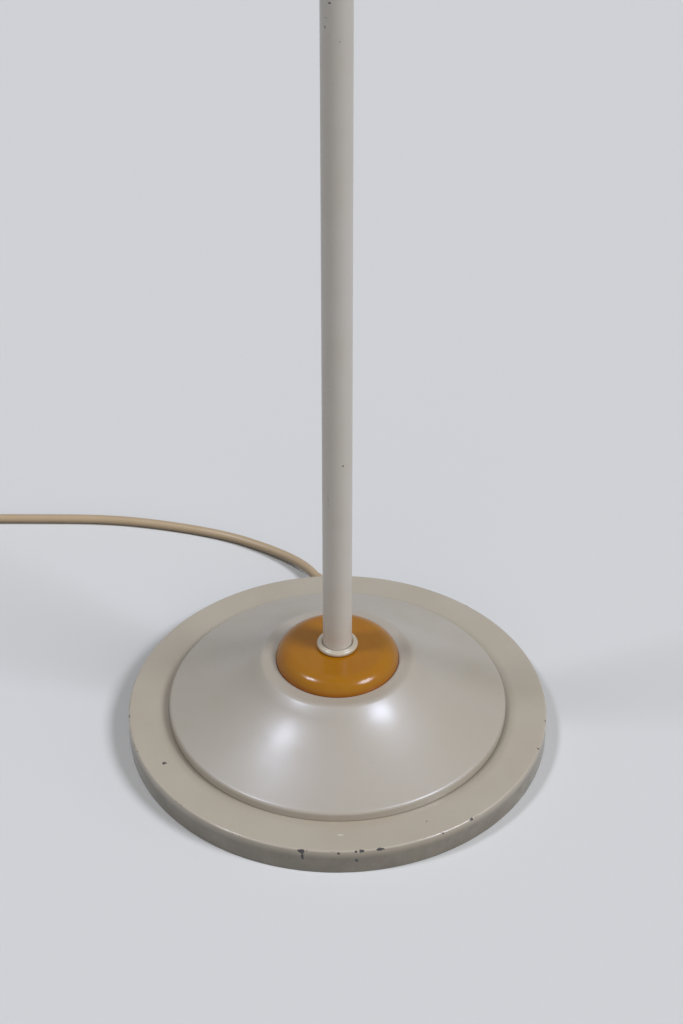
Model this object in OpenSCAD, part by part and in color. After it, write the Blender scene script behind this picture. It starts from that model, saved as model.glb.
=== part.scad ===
// Free-standing pole lamp: a weighted round foot under a spun cover, a lacquered pole,
// three swivelling cone shades and a rotary switch on the pole's top.
// The origin is on the floor, on the pole's axis. +Z is up and -Y is the front.

/* [Base] */
// Diameter of the base disc
base_d = 300; // [280:2:320]
// Height of the disc's top above the floor
base_top = 20; // [19:0.5:22]
// Thickness of the felt pad under the disc
felt_t = 1.5; // [1:0.1:2]
// Diameter of the recess in the disc's underside
recess_d = 236; // [220:2:240]
// Height of the recess's ceiling above the floor
recess_top = 13; // [13:0.5:14]
// Diameter of the spun cover at the disc
cover_d = 241.4; // [236:0.2:246]
// Height of the flat shelf round the cover's neck above the floor
cover_top = 65.2; // [64.6:0.1:65.4]
// Sheet thickness of the cover
cover_t = 1.2; // [0.8:0.1:1.5]

/* [Orange ring and collar] */
// Diameter of the orange ring in the cover's neck
ring_d = 87; // [82:0.5:87]
// Height of the ring's top above the floor
ring_top = 76; // [73:0.5:79]
// Diameter of the collar round the foot of the pole
collar_d = 29; // [27:0.5:32]
// Height of the collar's bead above the ring
collar_h = 4.4; // [3:0.1:6]

/* [Pole] */
// Diameter of the pole
pole_d = 20.5; // [20.5:0.1:20.6]
// Wall of the pole's tubes
pole_wall = 1.5; // [1.4:0.1:1.6]
// Height at which the lower tube meets the upper tube
pole_split = 800; // [700:10:900]
// Height of the pole's top above the floor
pole_top = 1470; // [1466:1:1474]

/* [Heads] */
// Height of the lowest head's arm
head_low = 1080; // [1070:1:1080]
// Vertical distance from one arm to the next
head_step = 175; // [172:1:178]
// Distance from the pole's axis to a head's tilt axis
pivot_r = 84; // [82:0.5:86]
// Diameter of the arm's tube
arm_d = 10; // [9:0.5:11]
// Diameter of a shade's mouth
shade_d = 120; // [114:1:122]
// Sheet thickness of a shade
shade_t = 1; // [0.8:0.1:1.2]
// Diameter of the bulb's globe
bulb_d = 45; // [40:1:46]

/* [Cord] */
// Diameter of the mains cord
cord_d = 7; // [6.8:0.1:7]
// Number of straight sides round the cord
cord_sides = 10; // [8:1:12]
// Radius of the coil's outer turn
coil_r = 51.5; // [50:0.5:53]
// Distance from one turn of the coil to the next
coil_pitch = 7.5; // [7.5:0.05:7.7]

/* [Hidden] */
HEADS = 3;

// Colours
CREAM = "#d2c7b2";
PEARL = "#cfc9c2";
ORANGE = "#d6871f";
FLEX = "#cdb68e";
STEEL = "#a9abad";
BRASS = "#b79a5c";
BAKELITE = "#2b2624";
FELT = "#3a3632";
GLASS = "#f0eee8";

// Clearances: a sliding fit between fixed pieces, a running fit of a hinge, and an air gap
FIT = 0.05;
RUN = 0.05;
AIR = 0.3;

// Pole and what is inside it
pole_r = pole_d / 2;
pole_bore = pole_r - pole_wall;
stem_r = 6.5;
stem_bore = 5;
stem_low = 6.2;
stem_top = 48;
foot_top = 50;
nut_t = 4;
nut_r = 11.5;
washer_t = 1.2;
washer_r = 14;
lock_t = 1;
lock_r = 11;
wire_hole_r = 3.4;

// Dish in the cover's neck that the orange ring sits in, and the collar's sleeve in the ring
collar_sleeve_r = 12;
dish_r = 44.1;
dish_floor = cover_top - 4.7;

// Cord: where it leaves the rim, which way, and how the strain relief fills its hole
exit_tip = [-16, 162, 8];
exit_angle = 120;
relief_len = 22;
relief_r = 5.5;
relief_tip_r = 4.2;
clamp_from = -73;
clamp_to = -63;
clamp_t = 9.5;
clamp_w = 24;
clamp_screw_y = 8.5;
clamp_screw_r = 1.7;
clamp_screw_depth = 8.5;
sheath_end = -78;
core_d = 3.8;

// Route of the cord from the strain relief to the coil, chosen by hand
lead_route = [
    exit_tip, [-20, 169, 7.9], [-25, 176.2, 7.4], [-31, 183, 6.8], [-38, 189.6, 6.2],
    [-46, 196, 5.5], [-55, 202.4, 4.9], [-65, 208.6, 4.4], [-77, 215.2, 4], [-91, 221.2, 3.7],
    [-108, 227, 3.5], [-130, 232.8, 3.5], [-155, 238, 3.5], [-180, 241.6, 3.5],
    [-205, 243, 3.5], [-237, 243.3, 3.5], [-269, 243.5, 3.5], [-300, 243.5, 3.8],
    [-320, 243.5, 4.2], [-328, 243.5, 4.2]
];
// Route from the coil to the plug
tail_route = [
    [-386.5, 185, 11.7], [-386.5, 178, 11.4], [-386.8, 168, 10.2], [-387.2, 156, 8],
    [-387.6, 143, 5.6], [-388, 130, 4], [-388, 116, 3.5], [-388, 102, 3.6],
    [-388, 90, 4.6], [-388, 80, 6.1], [-388, 72, 7], [-388, 65, 7]
];
// Route of the two cores, taken as one strand, from the end of the sheath to the switch
core_route = [
    [22, 96, 8], [24, 88, 8], [22, 72, 7.6], [15, 46, 6], [8, 22, 4.2], [4.5, 11, 3.7],
    [2, 4, 3.9], [0.6, 1.2, 5.2], [0, 0, 8.5], [0, 0, 14], [0, 0, 1474]
];

// Coil: two layers, spiralling in below and out again on top
coil_centre = [-335, 192];
coil_low = 4.2;
coil_rise = 7.5;
coil_steps = 24;
layer_turns = 3.125;
coil_sides = 6;
tie_angle = 315;
tie_w = 8;
tie_t = 0.6;

// Plug: a flat two-pin plug that points along -Y
plug_rear = tail_route[len(tail_route) - 1];
plug_relief_len = 18;
plug_len = 34;
plug_h = 14;
pin_len = 19;
pin_r = 2;
pin_gap = 18.6;

// Heads
hub_r = 15.5;
hub_half = 14;
boss_r = 8;
boss_end = 24;
arm_from = 12;
arm_to = pivot_r - 18;
arm_r = arm_d / 2;
arm_wall = 1.2;
arm_bore = arm_r - arm_wall;
glide_t = 1;
stop_top = -hub_half - AIR - glide_t;
stop_r = 14;
stop_h = 10;
grub_r = 2;
grub_end = 13.2;
eye_r = 9;
eye_half = 3;
cheek_t = 4;
cheek_out = eye_half + AIR + cheek_t;
screw_r = 2.5;
fork_low = -22;
nipple_r = 5;
nipple_low = -46;
knob_hold = 5;
dish_z = -31.5;
mouth_z = -155;
socket_end = -76;
bulb_centre = -98;
cap_top = -57;
cap_r = 7;

// Switch on the pole's top
housing_low = pole_top - 18;
housing_top = pole_top + 27;
knob_low = housing_top + 0.6;
knob_h = 17;
knob_r = 16;
shaft_r = 3;
shaft_top = knob_low + 13;
bush_r = 5;
lid_t = 3;
switch_low = pole_top + 4;
shaft_seat = 5;
grub_z = housing_low + 6;

// Points on an arc round c, from angle a to angle b
function arc(c, r, a, b, steps) =
    [for (i = [0:steps]) let (t = a + (b - a) * i / steps) c + r * [cos(t), sin(t)]];

// Points on a cubic curve through its two end points
function curve(p, steps) = [
    for (i = [0:steps]) let (t = i / steps, s = 1 - t)
        s * s * s * p[0] + 3 * s * s * t * p[1] + 3 * s * t * t * p[2] + t * t * t * p[3]
];

function unit(v) = v / norm(v);
function normal_of(p, q) = unit([p[1] - q[1], q[0] - p[0]]);
function reversed(list) = [for (i = [len(list) - 1:-1:0]) list[i]];

// The same line moved sideways by t, for the other face of a sheet
function moved(line, t) = [
    for (i = [0:len(line) - 1])
        let (
            before = normal_of(line[max(i - 1, 0)], line[max(i, 1)]),
            last = len(line) - 1,
            after = normal_of(line[min(i, last - 1)], line[min(i + 1, last)]),
            middle = unit(before + after)
        )
        line[i] + t * middle / (middle * before)
];

// Directions along a route; the end directions are those of its end stretches
function directions(p) = [
    for (i = [0:len(p) - 1]) unit(p[min(i + 1, len(p) - 1)] - p[max(i - 1, 0)])
];

// Sideways vectors that follow a route without twisting
function sideways(d, first) = [
    for (i = 0, s = unit(first - (first * d[0]) * d[0]); i < len(d);
         i = i + 1, s = i < len(d) ? unit(s - (s * d[i]) * d[i]) : s) s
];

// A closed tube swept along a route
module tube(p, d, sides) {
    along = directions(p);
    across = sideways(along, cross([0, 0, 1], along[0]));
    rings = [
        for (i = [0:len(p) - 1], k = [0:sides - 1])
            let (a = (k + 0.5) * 360 / sides)
            p[i] + d / 2 * (cos(a) * across[i] + sin(a) * cross(along[i], across[i]))
    ];
    last = (len(p) - 1) * sides;
    walls = [
        for (i = [0:len(p) - 2], k = [0:sides - 1], half = [0, 1])
            let (a = i * sides + k, b = i * sides + (k + 1) % sides)
            half == 0 ? [a, a + sides, b] : [b, a + sides, b + sides]
    ];
    caps = [
        for (k = [1:sides - 2], end = [0, 1])
            end == 0 ? [0, k, k + 1] : [last, last + k + 1, last + k]
    ];
    polyhedron(rings, concat(walls, caps), convexity = 10);
}

// A sheet of thickness t whose outer face has the given outline, turned about Z
module spun(outline, t) {
    rotate_extrude($fn = 180) polygon(concat(outline, reversed(moved(outline, t))));
}

// A turned ring with rounded outer edges
module turned_ring(outer, bore, low, high, edge) {
    rotate_extrude($fn = 96) polygon(concat(
        [[bore, low]],
        arc([outer - edge, low + edge], edge, -90, 0, 6),
        arc([outer - edge, high - edge], edge, 0, 90, 6),
        [[bore, high]]
    ));
}

// A local frame at the end of the strain relief: +Z points out along the cord, +X down
module on_exit() {
    translate(exit_tip) rotate([0, 90, exit_angle]) children();
}

// A rod along local +Z at the clamp's screws, which point up into the disc
module at_clamp_screws() {
    on_exit() for (y = [-clamp_screw_y, clamp_screw_y])
        translate([0, y, (clamp_from + clamp_to) / 2]) rotate([0, -90, 0]) children();
}

// Local frames of a head: at the pole with +X along its arm, and at its tilt axis
module at_hub(n) {
    rotate([0, 0, 90 + 120 * n]) translate([0, 0, head_low + head_step * (n - 1)]) children();
}

module at_pivot(n) {
    at_hub(n) translate([pivot_r, 0, 0]) children();
}

// A rod along local Y, from one distance to another
module rod_y(r, from, to) {
    translate([0, to, 0]) rotate([90, 0, 0]) cylinder(h = to - from, r = r, $fn = 64);
}

// A rod along local X, from one distance to another
module rod_x(r, from, to) {
    translate([from, 0, 0]) rotate([0, 90, 0]) cylinder(h = to - from, r = r, $fn = 64);
}

// Base

module base_felt() {
    color(FELT) cylinder(h = felt_t, r = base_d / 2 - 3, $fn = 180);
}

module base_weight() {
    edge = 1.6;
    foot_edge = 1;
    rim = base_d / 2;
    stem_hole_r = stem_r + 0.25;
    cord_hole_r = cord_d / 2 + 0.2;
    color(CREAM) difference() {
        rotate_extrude($fn = 180) polygon(concat(
            [[stem_hole_r, recess_top], [recess_d / 2, recess_top], [recess_d / 2, felt_t]],
            arc([rim - foot_edge, felt_t + foot_edge], foot_edge, -90, 0, 4),
            arc([rim - edge, base_top - edge], edge, 0, 90, 6),
            [[stem_hole_r, base_top]]
        ));
        on_exit() {
            translate([0, 0, -relief_len]) cylinder(h = relief_len, r = relief_r + FIT, $fn = 64);
            translate([0, 0, clamp_to]) cylinder(h = relief_len - clamp_to, r = cord_hole_r, $fn = 64);
        }
        at_clamp_screws() cylinder(h = clamp_screw_depth + 0.5, r = clamp_screw_r + FIT, $fn = 32);
    }
}

// Outer face of the cover: up from the disc, over the rolled lip, across the flat shelf round
// the neck and down into the dish
function cover_outline() = let (
    r = cover_d / 2,
    edge = 2.5,
    skirt = base_top + 6.5,
    crown = 66,
    start = [r - edge, skirt] + edge * [cos(crown), sin(crown)],
    lip_r = 9,
    lip_slope = 45,
    lip = [52.4, cover_top - lip_r],
    down = [cos(lip_slope), -sin(lip_slope)],
    neck = lip + lip_r * [sin(lip_slope), cos(lip_slope)] + 3 * down
) concat(
    [[r, base_top]],
    arc([r - edge, skirt], edge, 0, crown, 6),
    [for (i = [1:18]) curve([start, start + [-18, 7.8], neck + 17 * down, neck], 18)[i]],
    arc(lip, lip_r, 90 - lip_slope, 90, 9),
    [[dish_r, cover_top], [dish_r, dish_floor], [pole_r + 0.4, dish_floor]]
);

module dome_cover() {
    color(PEARL) spun(cover_outline(), cover_t);
}

module accent_ring() {
    bulge = cover_top + 0.2;
    bore = collar_sleeve_r + FIT;
    seat_r = 37;
    round_r = 12.5;
    crown = 0.5;
    rim = ring_d / 2;
    color(ORANGE) rotate_extrude($fn = 180) polygon(concat(
        [[bore, dish_floor]],
        curve([[seat_r, dish_floor], [seat_r + 4, dish_floor + 0.3], [rim, bulge - 2.4], [rim, bulge]], 8),
        [for (i = [1:16]) let (a = 90 * i / 16)
            [rim - round_r * (1 - cos(a)), bulge + (ring_top - crown - bulge) * sin(a)]],
        [[22, ring_top - 0.1], [bore, ring_top]]
    ));
}

module collar_ring() {
    bead = 1.85;
    inner = pole_r + 0.6;
    outer = collar_d / 2;
    low = dish_floor + 1.1;
    color(CREAM) rotate_extrude($fn = 96) polygon(concat(
        [[inner, low], [collar_sleeve_r, low], [collar_sleeve_r, ring_top], [outer - 1, ring_top]],
        arc([outer - bead, ring_top + 1.9], bead, -50, 90, 10),
        curve([[outer - bead, ring_top + 3.75], [12.2, ring_top + 4.5],
            [inner + 0.4, ring_top + collar_h], [inner, ring_top + collar_h - 1.2]], 6)
    ));
}

module threaded_stem() {
    color(STEEL) translate([0, 0, stem_low]) difference() {
        cylinder(h = stem_top - stem_low, r = stem_r, $fn = 64);
        translate([0, 0, -1]) cylinder(h = stem_top, r = stem_bore, $fn = 64);
    }
}

module stem_washers() {
    color(STEEL) {
        turned_ring(washer_r, stem_r + AIR, recess_top - washer_t, recess_top, 0.3);
        turned_ring(lock_r, stem_r + AIR, recess_top - washer_t - lock_t, recess_top - washer_t, 0.2);
    }
}

module stem_nut() {
    high = recess_top - washer_t - lock_t;
    color(BRASS) translate([0, 0, high - nut_t]) difference() {
        cylinder(h = nut_t, r = nut_r, $fn = 6);
        translate([0, 0, -1]) cylinder(h = nut_t + 2, r = stem_r + FIT, $fn = 64);
    }
}

module pole_foot() {
    color(STEEL) difference() {
        translate([0, 0, base_top]) cylinder(h = foot_top - base_top, r = pole_bore - FIT, $fn = 64);
        translate([0, 0, base_top - 1]) cylinder(h = stem_top - base_top + 1, r = stem_r + FIT, $fn = 64);
        translate([0, 0, stem_top - 1]) cylinder(h = 5, r = stem_bore, $fn = 64);
    }
}

// Cord and its fittings

module cord_bushing() {
    taper = 12;
    color(FLEX) on_exit() rotate_extrude($fn = 48) polygon([
        [0, -relief_len], [relief_r, -relief_len], [relief_r, -taper], [relief_tip_r, 0], [0, 0]
    ]);
}

module cord_clamp() {
    long = clamp_to - clamp_from;
    color(BAKELITE) difference() {
        on_exit() translate([exit_tip[2] - recess_top, -clamp_w / 2, clamp_from])
            cube([clamp_t, clamp_w, long]);
        on_exit() translate([0, 0, clamp_from - 1]) cylinder(h = long + 2, r = cord_d / 2 + FIT, $fn = 64);
        at_clamp_screws() translate([0, 0, -clamp_t])
            cylinder(h = 2 * clamp_t, r = clamp_screw_r + FIT, $fn = 32);
    }
}

module clamp_screws() {
    seat = exit_tip[2] - recess_top + clamp_t;
    head_t = 1.2;
    color(STEEL) at_clamp_screws() {
        translate([0, 0, -seat]) cylinder(h = seat + clamp_screw_depth, r = clamp_screw_r, $fn = 32);
        translate([0, 0, -seat - head_t]) cylinder(h = head_t, r = 3.2, $fn = 32);
    }
}

module inner_lead() {
    color(FLEX) {
        on_exit() translate([0, 0, sheath_end])
            cylinder(h = -sheath_end - relief_len, r = cord_d / 2, $fn = 24);
        tube(core_route, core_d, 8);
    }
}

module mains_cord() {
    color(FLEX) {
        tube(lead_route, cord_d, cord_sides);
        tube(tail_route, cord_d, cord_sides);
    }
}

// A point of the coil after a number of turns, counted from where the cord arrives
function coil_point(s) = let (
    inner = coil_r - coil_pitch * layer_turns,
    r = inner + coil_pitch * abs(s - layer_turns),
    climb = min(max((s - layer_turns + 0.25) / 0.5, 0), 1),
    z = coil_low + coil_rise * climb * climb * (3 - 2 * climb),
    a = 90 + 360 * s
) [coil_centre[0] + r * cos(a), coil_centre[1] + r * sin(a), z];

coil_points = [for (i = [0:2 * layer_turns * coil_steps]) coil_point(i / coil_steps)];
coil_route = concat(
    [lead_route[len(lead_route) - 1]], coil_points, [tail_route[0]]
);
coil_gap = min([
    for (i = [0:len(coil_points) - 1], j = [i + 12:1:len(coil_points) - 1])
        norm(coil_points[i] - coil_points[j])
]) - cord_d;
echo("least gap of the coil to itself in mm", coil_gap);

module cord_coil() {
    color(FLEX) tube(coil_route, cord_d, coil_sides);
}

module cord_tie() {
    low = [coil_r - coil_pitch * 3 - cord_d / 2 + 2.6, tie_t];
    high = [coil_r + 0.55, coil_low + coil_rise + cord_d / 2 + 0.2];
    color(BAKELITE) translate([coil_centre[0], coil_centre[1], 0]) rotate([0, 0, tie_angle])
        translate([0, tie_w / 2, 0]) rotate([90, 0, 0]) linear_extrude(tie_w) difference() {
            translate(low - [tie_t, tie_t]) square(high - low + 2 * [tie_t, tie_t]);
            translate(low) square(high - low);
        }
}

// A local frame at the plug's rear end, with +Z towards the pins
module on_plug() {
    translate(plug_rear) rotate([90, 0, 0]) children();
}

module plug_body() {
    edge = 3;
    middle = plug_h / 2 - edge;
    // Half width of each part at its rear and at its front, and how far it stops short of the ends
    rear_part = [9, 14.5, 5];
    front_part = [14.5, 16, 14];
    color(FLEX) on_plug() {
        cylinder(h = plug_relief_len + 1, r1 = relief_tip_r, r2 = 5.6, $fn = 48);
        for (part = [rear_part, front_part])
            hull() for (side = [-1, 1], face = [-1, 1]) {
                translate([side * (part[0] - edge), face * middle, plug_relief_len + part[2] - 4])
                    cylinder(h = 1, r = edge, $fn = 24);
                translate([side * (part[1] - edge), face * middle, plug_relief_len + plug_len - part[2]])
                    cylinder(h = part[2], r = edge, $fn = 24);
            }
    }
}

module plug_pins() {
    face = plug_relief_len + plug_len;
    color(BRASS) on_plug() for (side = [-1, 1]) translate([side * pin_gap / 2, 0, face]) {
        cylinder(h = pin_len - pin_r, r = pin_r, $fn = 48);
        translate([0, 0, pin_len - pin_r]) sphere(r = pin_r, $fn = 48);
    }
}

// Pole

module pole_tube(low, high) {
    translate([0, 0, low]) difference() {
        cylinder(h = high - low, r = pole_r, $fn = 96);
        translate([0, 0, -1]) cylinder(h = high - low + 2, r = pole_bore, $fn = 96);
    }
}

module pole_lower() {
    color(CREAM) pole_tube(base_top, pole_split);
}

module pole_joint() {
    reach = 40;
    bore = 6;
    color(STEEL) translate([0, 0, pole_split - reach]) difference() {
        cylinder(h = 2 * reach, r = pole_bore - FIT, $fn = 64);
        translate([0, 0, -1]) cylinder(h = 2 * reach + 2, r = bore, $fn = 64);
    }
}

module pole_upper() {
    color(CREAM) difference() {
        pole_tube(pole_split, pole_top);
        for (n = [1:HEADS]) at_hub(n) rod_x(wire_hole_r, pole_bore - 2, pole_r + 2);
    }
}

module stop_rings() {
    color(CREAM) for (n = [1:HEADS]) at_hub(n) difference() {
        turned_ring(stop_r, pole_r + FIT, stop_top - stop_h, stop_top, 1.5);
        translate([0, 0, stop_top - stop_h / 2]) rod_x(grub_r + FIT, -stop_r - 1, -pole_r);
    }
}

module grub_screw() {
    key_r = 1.15;
    key_depth = 1.6;
    difference() {
        rod_x(grub_r, -grub_end, -pole_r);
        translate([-grub_end - 1, 0, 0]) rotate([0, 90, 0]) cylinder(h = key_depth + 1, r = key_r, $fn = 6);
    }
}

module stop_screws() {
    color(STEEL) {
        for (n = [1:HEADS]) at_hub(n) translate([0, 0, stop_top - stop_h / 2]) grub_screw();
        translate([0, 0, grub_z]) rotate([0, 0, -90]) grub_screw();
    }
}

module glide_washers() {
    color(GLASS) for (n = [1:HEADS]) at_hub(n)
        turned_ring(stop_r - 0.6, pole_r + FIT, stop_top, stop_top + glide_t, 0.3);
}

// Switch

module switch_housing() {
    sleeve_r = 13.8;
    head_r = 17;
    edge = 1.4;
    head_edge = 3;
    color(CREAM) difference() {
        rotate_extrude($fn = 96) polygon(concat(
            [[0, housing_low]],
            arc([sleeve_r - edge, housing_low + edge], edge, -90, 0, 5),
            curve([[sleeve_r, housing_low + 11], [sleeve_r, housing_low + 14], [head_r, housing_low + 14],
                [head_r, housing_low + 18]], 8),
            arc([head_r - head_edge, housing_top - head_edge], head_edge, 0, 90, 6),
            [[0, housing_top]]
        ));
        translate([0, 0, housing_low - 1])
            cylinder(h = pole_top - housing_low + 2, r = pole_r + FIT, $fn = 96);
        translate([0, 0, pole_top]) cylinder(h = housing_top - lid_t - pole_top, r = sleeve_r, $fn = 64);
        translate([0, 0, pole_top]) cylinder(h = housing_top - pole_top + 1, r = bush_r + FIT, $fn = 64);
        translate([0, 0, grub_z]) rotate([0, 0, -90]) rod_x(grub_r + FIT, -sleeve_r - 1, -pole_r);
    }
}

module switch_body() {
    high = housing_top - lid_t;
    case_r = 13;
    bush_h = 8;
    color(BAKELITE) difference() {
        union() {
            translate([0, 0, switch_low]) cylinder(h = high - switch_low, r = case_r, $fn = 64);
            translate([0, 0, high - 1]) cylinder(h = bush_h + 1, r = bush_r, $fn = 64);
        }
        translate([0, 0, switch_low + shaft_seat])
            cylinder(h = high + bush_h - switch_low, r = shaft_r + RUN, $fn = 64);
    }
}

module switch_nut() {
    high = 2.4;
    color(STEEL) translate([0, 0, housing_top]) difference() {
        cylinder(h = high, r = 8, $fn = 6);
        translate([0, 0, -1]) cylinder(h = high + 2, r = bush_r + FIT, $fn = 64);
    }
}

module switch_shaft() {
    low = switch_low + shaft_seat + AIR;
    color(BRASS) translate([0, 0, low]) cylinder(h = shaft_top - low, r = shaft_r, $fn = 64);
}

module switch_knob() {
    flutes = 20;
    flute_r = 1.7;
    hollow_r = 10;
    hollow_h = 6.6;
    edge = 1;
    top = knob_low + knob_h;
    color(ORANGE) difference() {
        rotate_extrude($fn = 96) polygon(concat(
            [[0, knob_low]],
            arc([knob_r - edge, knob_low + edge], edge, -90, 0, 4),
            curve([[knob_r, knob_low + 2], [knob_r, knob_low + 11],
                [knob_r - 3, top - 1.5], [9, top - 0.6]], 12),
            [[0, top]]
        ));
        translate([0, 0, knob_low - 1]) cylinder(h = hollow_h + 1, r = hollow_r, $fn = 64);
        cylinder(h = shaft_top, r = shaft_r + FIT, $fn = 64);
        for (i = [1:flutes]) rotate([0, 0, 360 * i / flutes])
            translate([knob_r + flute_r / 2, 0, knob_low + 3]) cylinder(h = knob_h, r = flute_r, $fn = 24);
    }
}

// Heads: the pieces that swing with the arm

module hub(n) {
    color(CREAM) at_hub(n) difference() {
        union() {
            turned_ring(hub_r, pole_bore, -hub_half, hub_half, 2.5);
            rod_x(boss_r, arm_from - 0.5, boss_end - 1);
            rod_x(boss_r - 1, boss_end - 1.5, boss_end);
        }
        translate([0, 0, -hub_half - 1]) cylinder(h = 2 * hub_half + 2, r = pole_r + RUN, $fn = 96);
        rod_x(arm_r + FIT, arm_from, boss_end + 1);
        rod_x(wire_hole_r, pole_bore, arm_from + 1);
    }
}

module arm(n) {
    color(CREAM) at_hub(n) difference() {
        rod_x(arm_r, arm_from, arm_to);
        rod_x(arm_bore, arm_from - 1, arm_to + 1);
    }
}

module arm_eye(n) {
    neck = pivot_r - arm_to;
    spigot = 8;
    flange = 4;
    web_h = 8;
    color(STEEL) at_pivot(n) difference() {
        union() {
            rod_x(arm_bore - FIT, -neck - spigot, -neck + 1);
            rod_x(arm_r, -neck, -neck + flange);
            translate([-neck + flange - 1, -eye_half, -web_h / 2])
                cube([neck - flange + 1, 2 * eye_half, web_h]);
            rod_y(eye_r, -eye_half, eye_half);
        }
        rod_y(screw_r + RUN, -eye_half - 1, eye_half + 1);
    }
}

// Heads: the pieces that tilt with the shade

module fork(n) {
    block_low = -17;
    block_top = -eye_r - 1.5;
    plate_r = 11;
    plate_t = 6;
    lead_hole_r = 3;
    color(STEEL) at_pivot(n) difference() {
        union() {
            for (side = [-1, 1]) translate([0, side * (cheek_out - cheek_t / 2), 0]) {
                rod_y(eye_r, -cheek_t / 2, cheek_t / 2);
                translate([-eye_r, -cheek_t / 2, block_low + 1]) cube([2 * eye_r, cheek_t, -block_low - 1]);
            }
            translate([-eye_r, -cheek_out, block_low])
                cube([2 * eye_r, 2 * cheek_out, block_top - block_low]);
            translate([0, 0, fork_low]) cylinder(h = plate_t, r = plate_r, $fn = 64);
            translate([0, 0, nipple_low]) cylinder(h = fork_low - nipple_low + 1, r = nipple_r, $fn = 64);
        }
        rod_y(screw_r + FIT, -cheek_out - 1, cheek_out + 1);
        translate([0, 0, nipple_low - 1])
            cylinder(h = block_top - nipple_low + 2, r = lead_hole_r, $fn = 48);
    }
}

module pivot_screw(n) {
    head_r = 4.6;
    head_t = 3;
    slot_w = 1.2;
    color(STEEL) at_pivot(n) {
        rod_y(screw_r, -cheek_out - 1, cheek_out + knob_hold);
        difference() {
            rod_y(head_r, -cheek_out - head_t, -cheek_out);
            translate([-head_r - 1, -cheek_out - head_t - 1, -slot_w / 2])
                cube([2 * head_r + 2, 2, slot_w]);
        }
    }
}

module tilt_knob(n) {
    flutes = 12;
    flute_r = 1.3;
    grip_r = 8.5;
    foot_r = 6;
    foot_h = 2;
    high = 9;
    color(ORANGE) at_pivot(n) difference() {
        translate([0, cheek_out, 0]) rotate([-90, 0, 0]) rotate_extrude($fn = 64) polygon(concat(
            [[0, 0], [foot_r, 0], [foot_r, foot_h]],
            arc([grip_r - 1, foot_h + 1], 1, -90, 0, 3),
            arc([grip_r - 1.5, high - 1.5], 1.5, 0, 90, 4),
            [[0, high]]
        ));
        rod_y(screw_r + FIT, cheek_out - 1, cheek_out + knob_hold + 0.5);
        for (i = [1:flutes]) rotate([0, 360 * i / flutes, 0])
            translate([grip_r + flute_r / 2, 0, 0])
                rod_y(flute_r, cheek_out + foot_h - 0.5, cheek_out + high + 1);
    }
}

// Outer face of a shade, from its mouth up to the neck and down into the dish
function shade_outline() = let (
    mouth = shade_d / 2,
    neck = [27, -38],
    crest = [22.8, dish_z + 2.4]
) concat(
    curve([[mouth, mouth_z], [mouth - 8, mouth_z + 30], [neck[0] + 5, neck[1] - 32], neck], 20),
    [for (i = [1:8]) curve([neck, neck + [-0.7, 4], crest + [2.6, 0], crest], 8)[i]],
    [for (i = [1:5]) curve([crest, crest + [-1.6, 0], [19.8, dish_z + 0.4], [18.9, dish_z]], 5)[i]],
    [[nipple_r + 2 * FIT, dish_z]]
);

module shade(n) {
    bead_r = 1.4;
    color(PEARL) at_pivot(n) {
        spun(shade_outline(), shade_t);
        translate([0, 0, mouth_z]) rotate_extrude($fn = 180)
            translate([shade_d / 2 - shade_t / 2, 0]) circle(r = bead_r, $fn = 24);
    }
}

module shade_ring(n) {
    bore = nipple_r + FIT;
    rim = 18.2;
    round_r = 7.2;
    bulge = dish_z + 2.8;
    color(ORANGE) at_pivot(n) rotate_extrude($fn = 96) polygon(concat(
        [[bore, dish_z]],
        curve([[rim - 2.2, dish_z], [rim - 0.6, dish_z + 0.1], [rim, bulge - 1.2], [rim, bulge]], 6),
        [for (i = [1:12]) let (a = 90 * i / 12)
            [rim - round_r * (1 - cos(a)), bulge + (fork_low - bulge) * sin(a)]],
        [[bore, fork_low]]
    ));
}

module lampholder(n) {
    top = dish_z - shade_t - 0.2;
    upper_r = 12.4;
    skirt_r = 12.6;
    bead_r = 13.4;
    color(BAKELITE) at_pivot(n) difference() {
        rotate_extrude($fn = 64) polygon([
            [0, top], [9, top], [upper_r, top - 3], [upper_r, -56], [bead_r, -57], [bead_r, -61],
            [skirt_r, -62], [skirt_r, socket_end + 0.8], [skirt_r - 0.8, socket_end], [0, socket_end]
        ]);
        translate([0, 0, socket_end - 1]) cylinder(h = cap_top + 2 - socket_end, r = cap_r + AIR, $fn = 64);
        translate([0, 0, nipple_low - 1]) cylinder(h = top - nipple_low + 2, r = nipple_r + FIT, $fn = 64);
    }
}

module bulb(n) {
    r = bulb_d / 2;
    neck = [8.4, socket_end - 1.8];
    shoulder = [r * cos(35), bulb_centre + r * sin(35)];
    color(GLASS) at_pivot(n) rotate_extrude($fn = 96) polygon(concat(
        [[0, cap_top], [cap_r - 3, cap_top], [cap_r, cap_top - 3], [cap_r, socket_end - 0.3]],
        curve([neck, neck + [1, -2], shoulder + 6 * [-sin(35), cos(35)], shoulder], 8),
        arc([0, bulb_centre], r, 33, -90, 24)
    ));
}

base_felt();
base_weight();
dome_cover();
accent_ring();
collar_ring();
threaded_stem();
stem_washers();
stem_nut();
pole_foot();
cord_bushing();
cord_clamp();
clamp_screws();
inner_lead();
mains_cord();
cord_coil();
cord_tie();
plug_body();
plug_pins();
pole_lower();
pole_joint();
pole_upper();
stop_rings();
stop_screws();
glide_washers();
switch_housing();
switch_body();
switch_nut();
switch_shaft();
switch_knob();
for (n = [1:HEADS]) {
    hub(n);
    arm(n);
    arm_eye(n);
    fork(n);
    pivot_screw(n);
    tilt_knob(n);
    shade(n);
    shade_ring(n);
    lampholder(n);
    bulb(n);
}
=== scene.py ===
"""Looks of a free-standing pole lamp: lacquered foot, orange ring, pole, cone shades and cord."""

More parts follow.
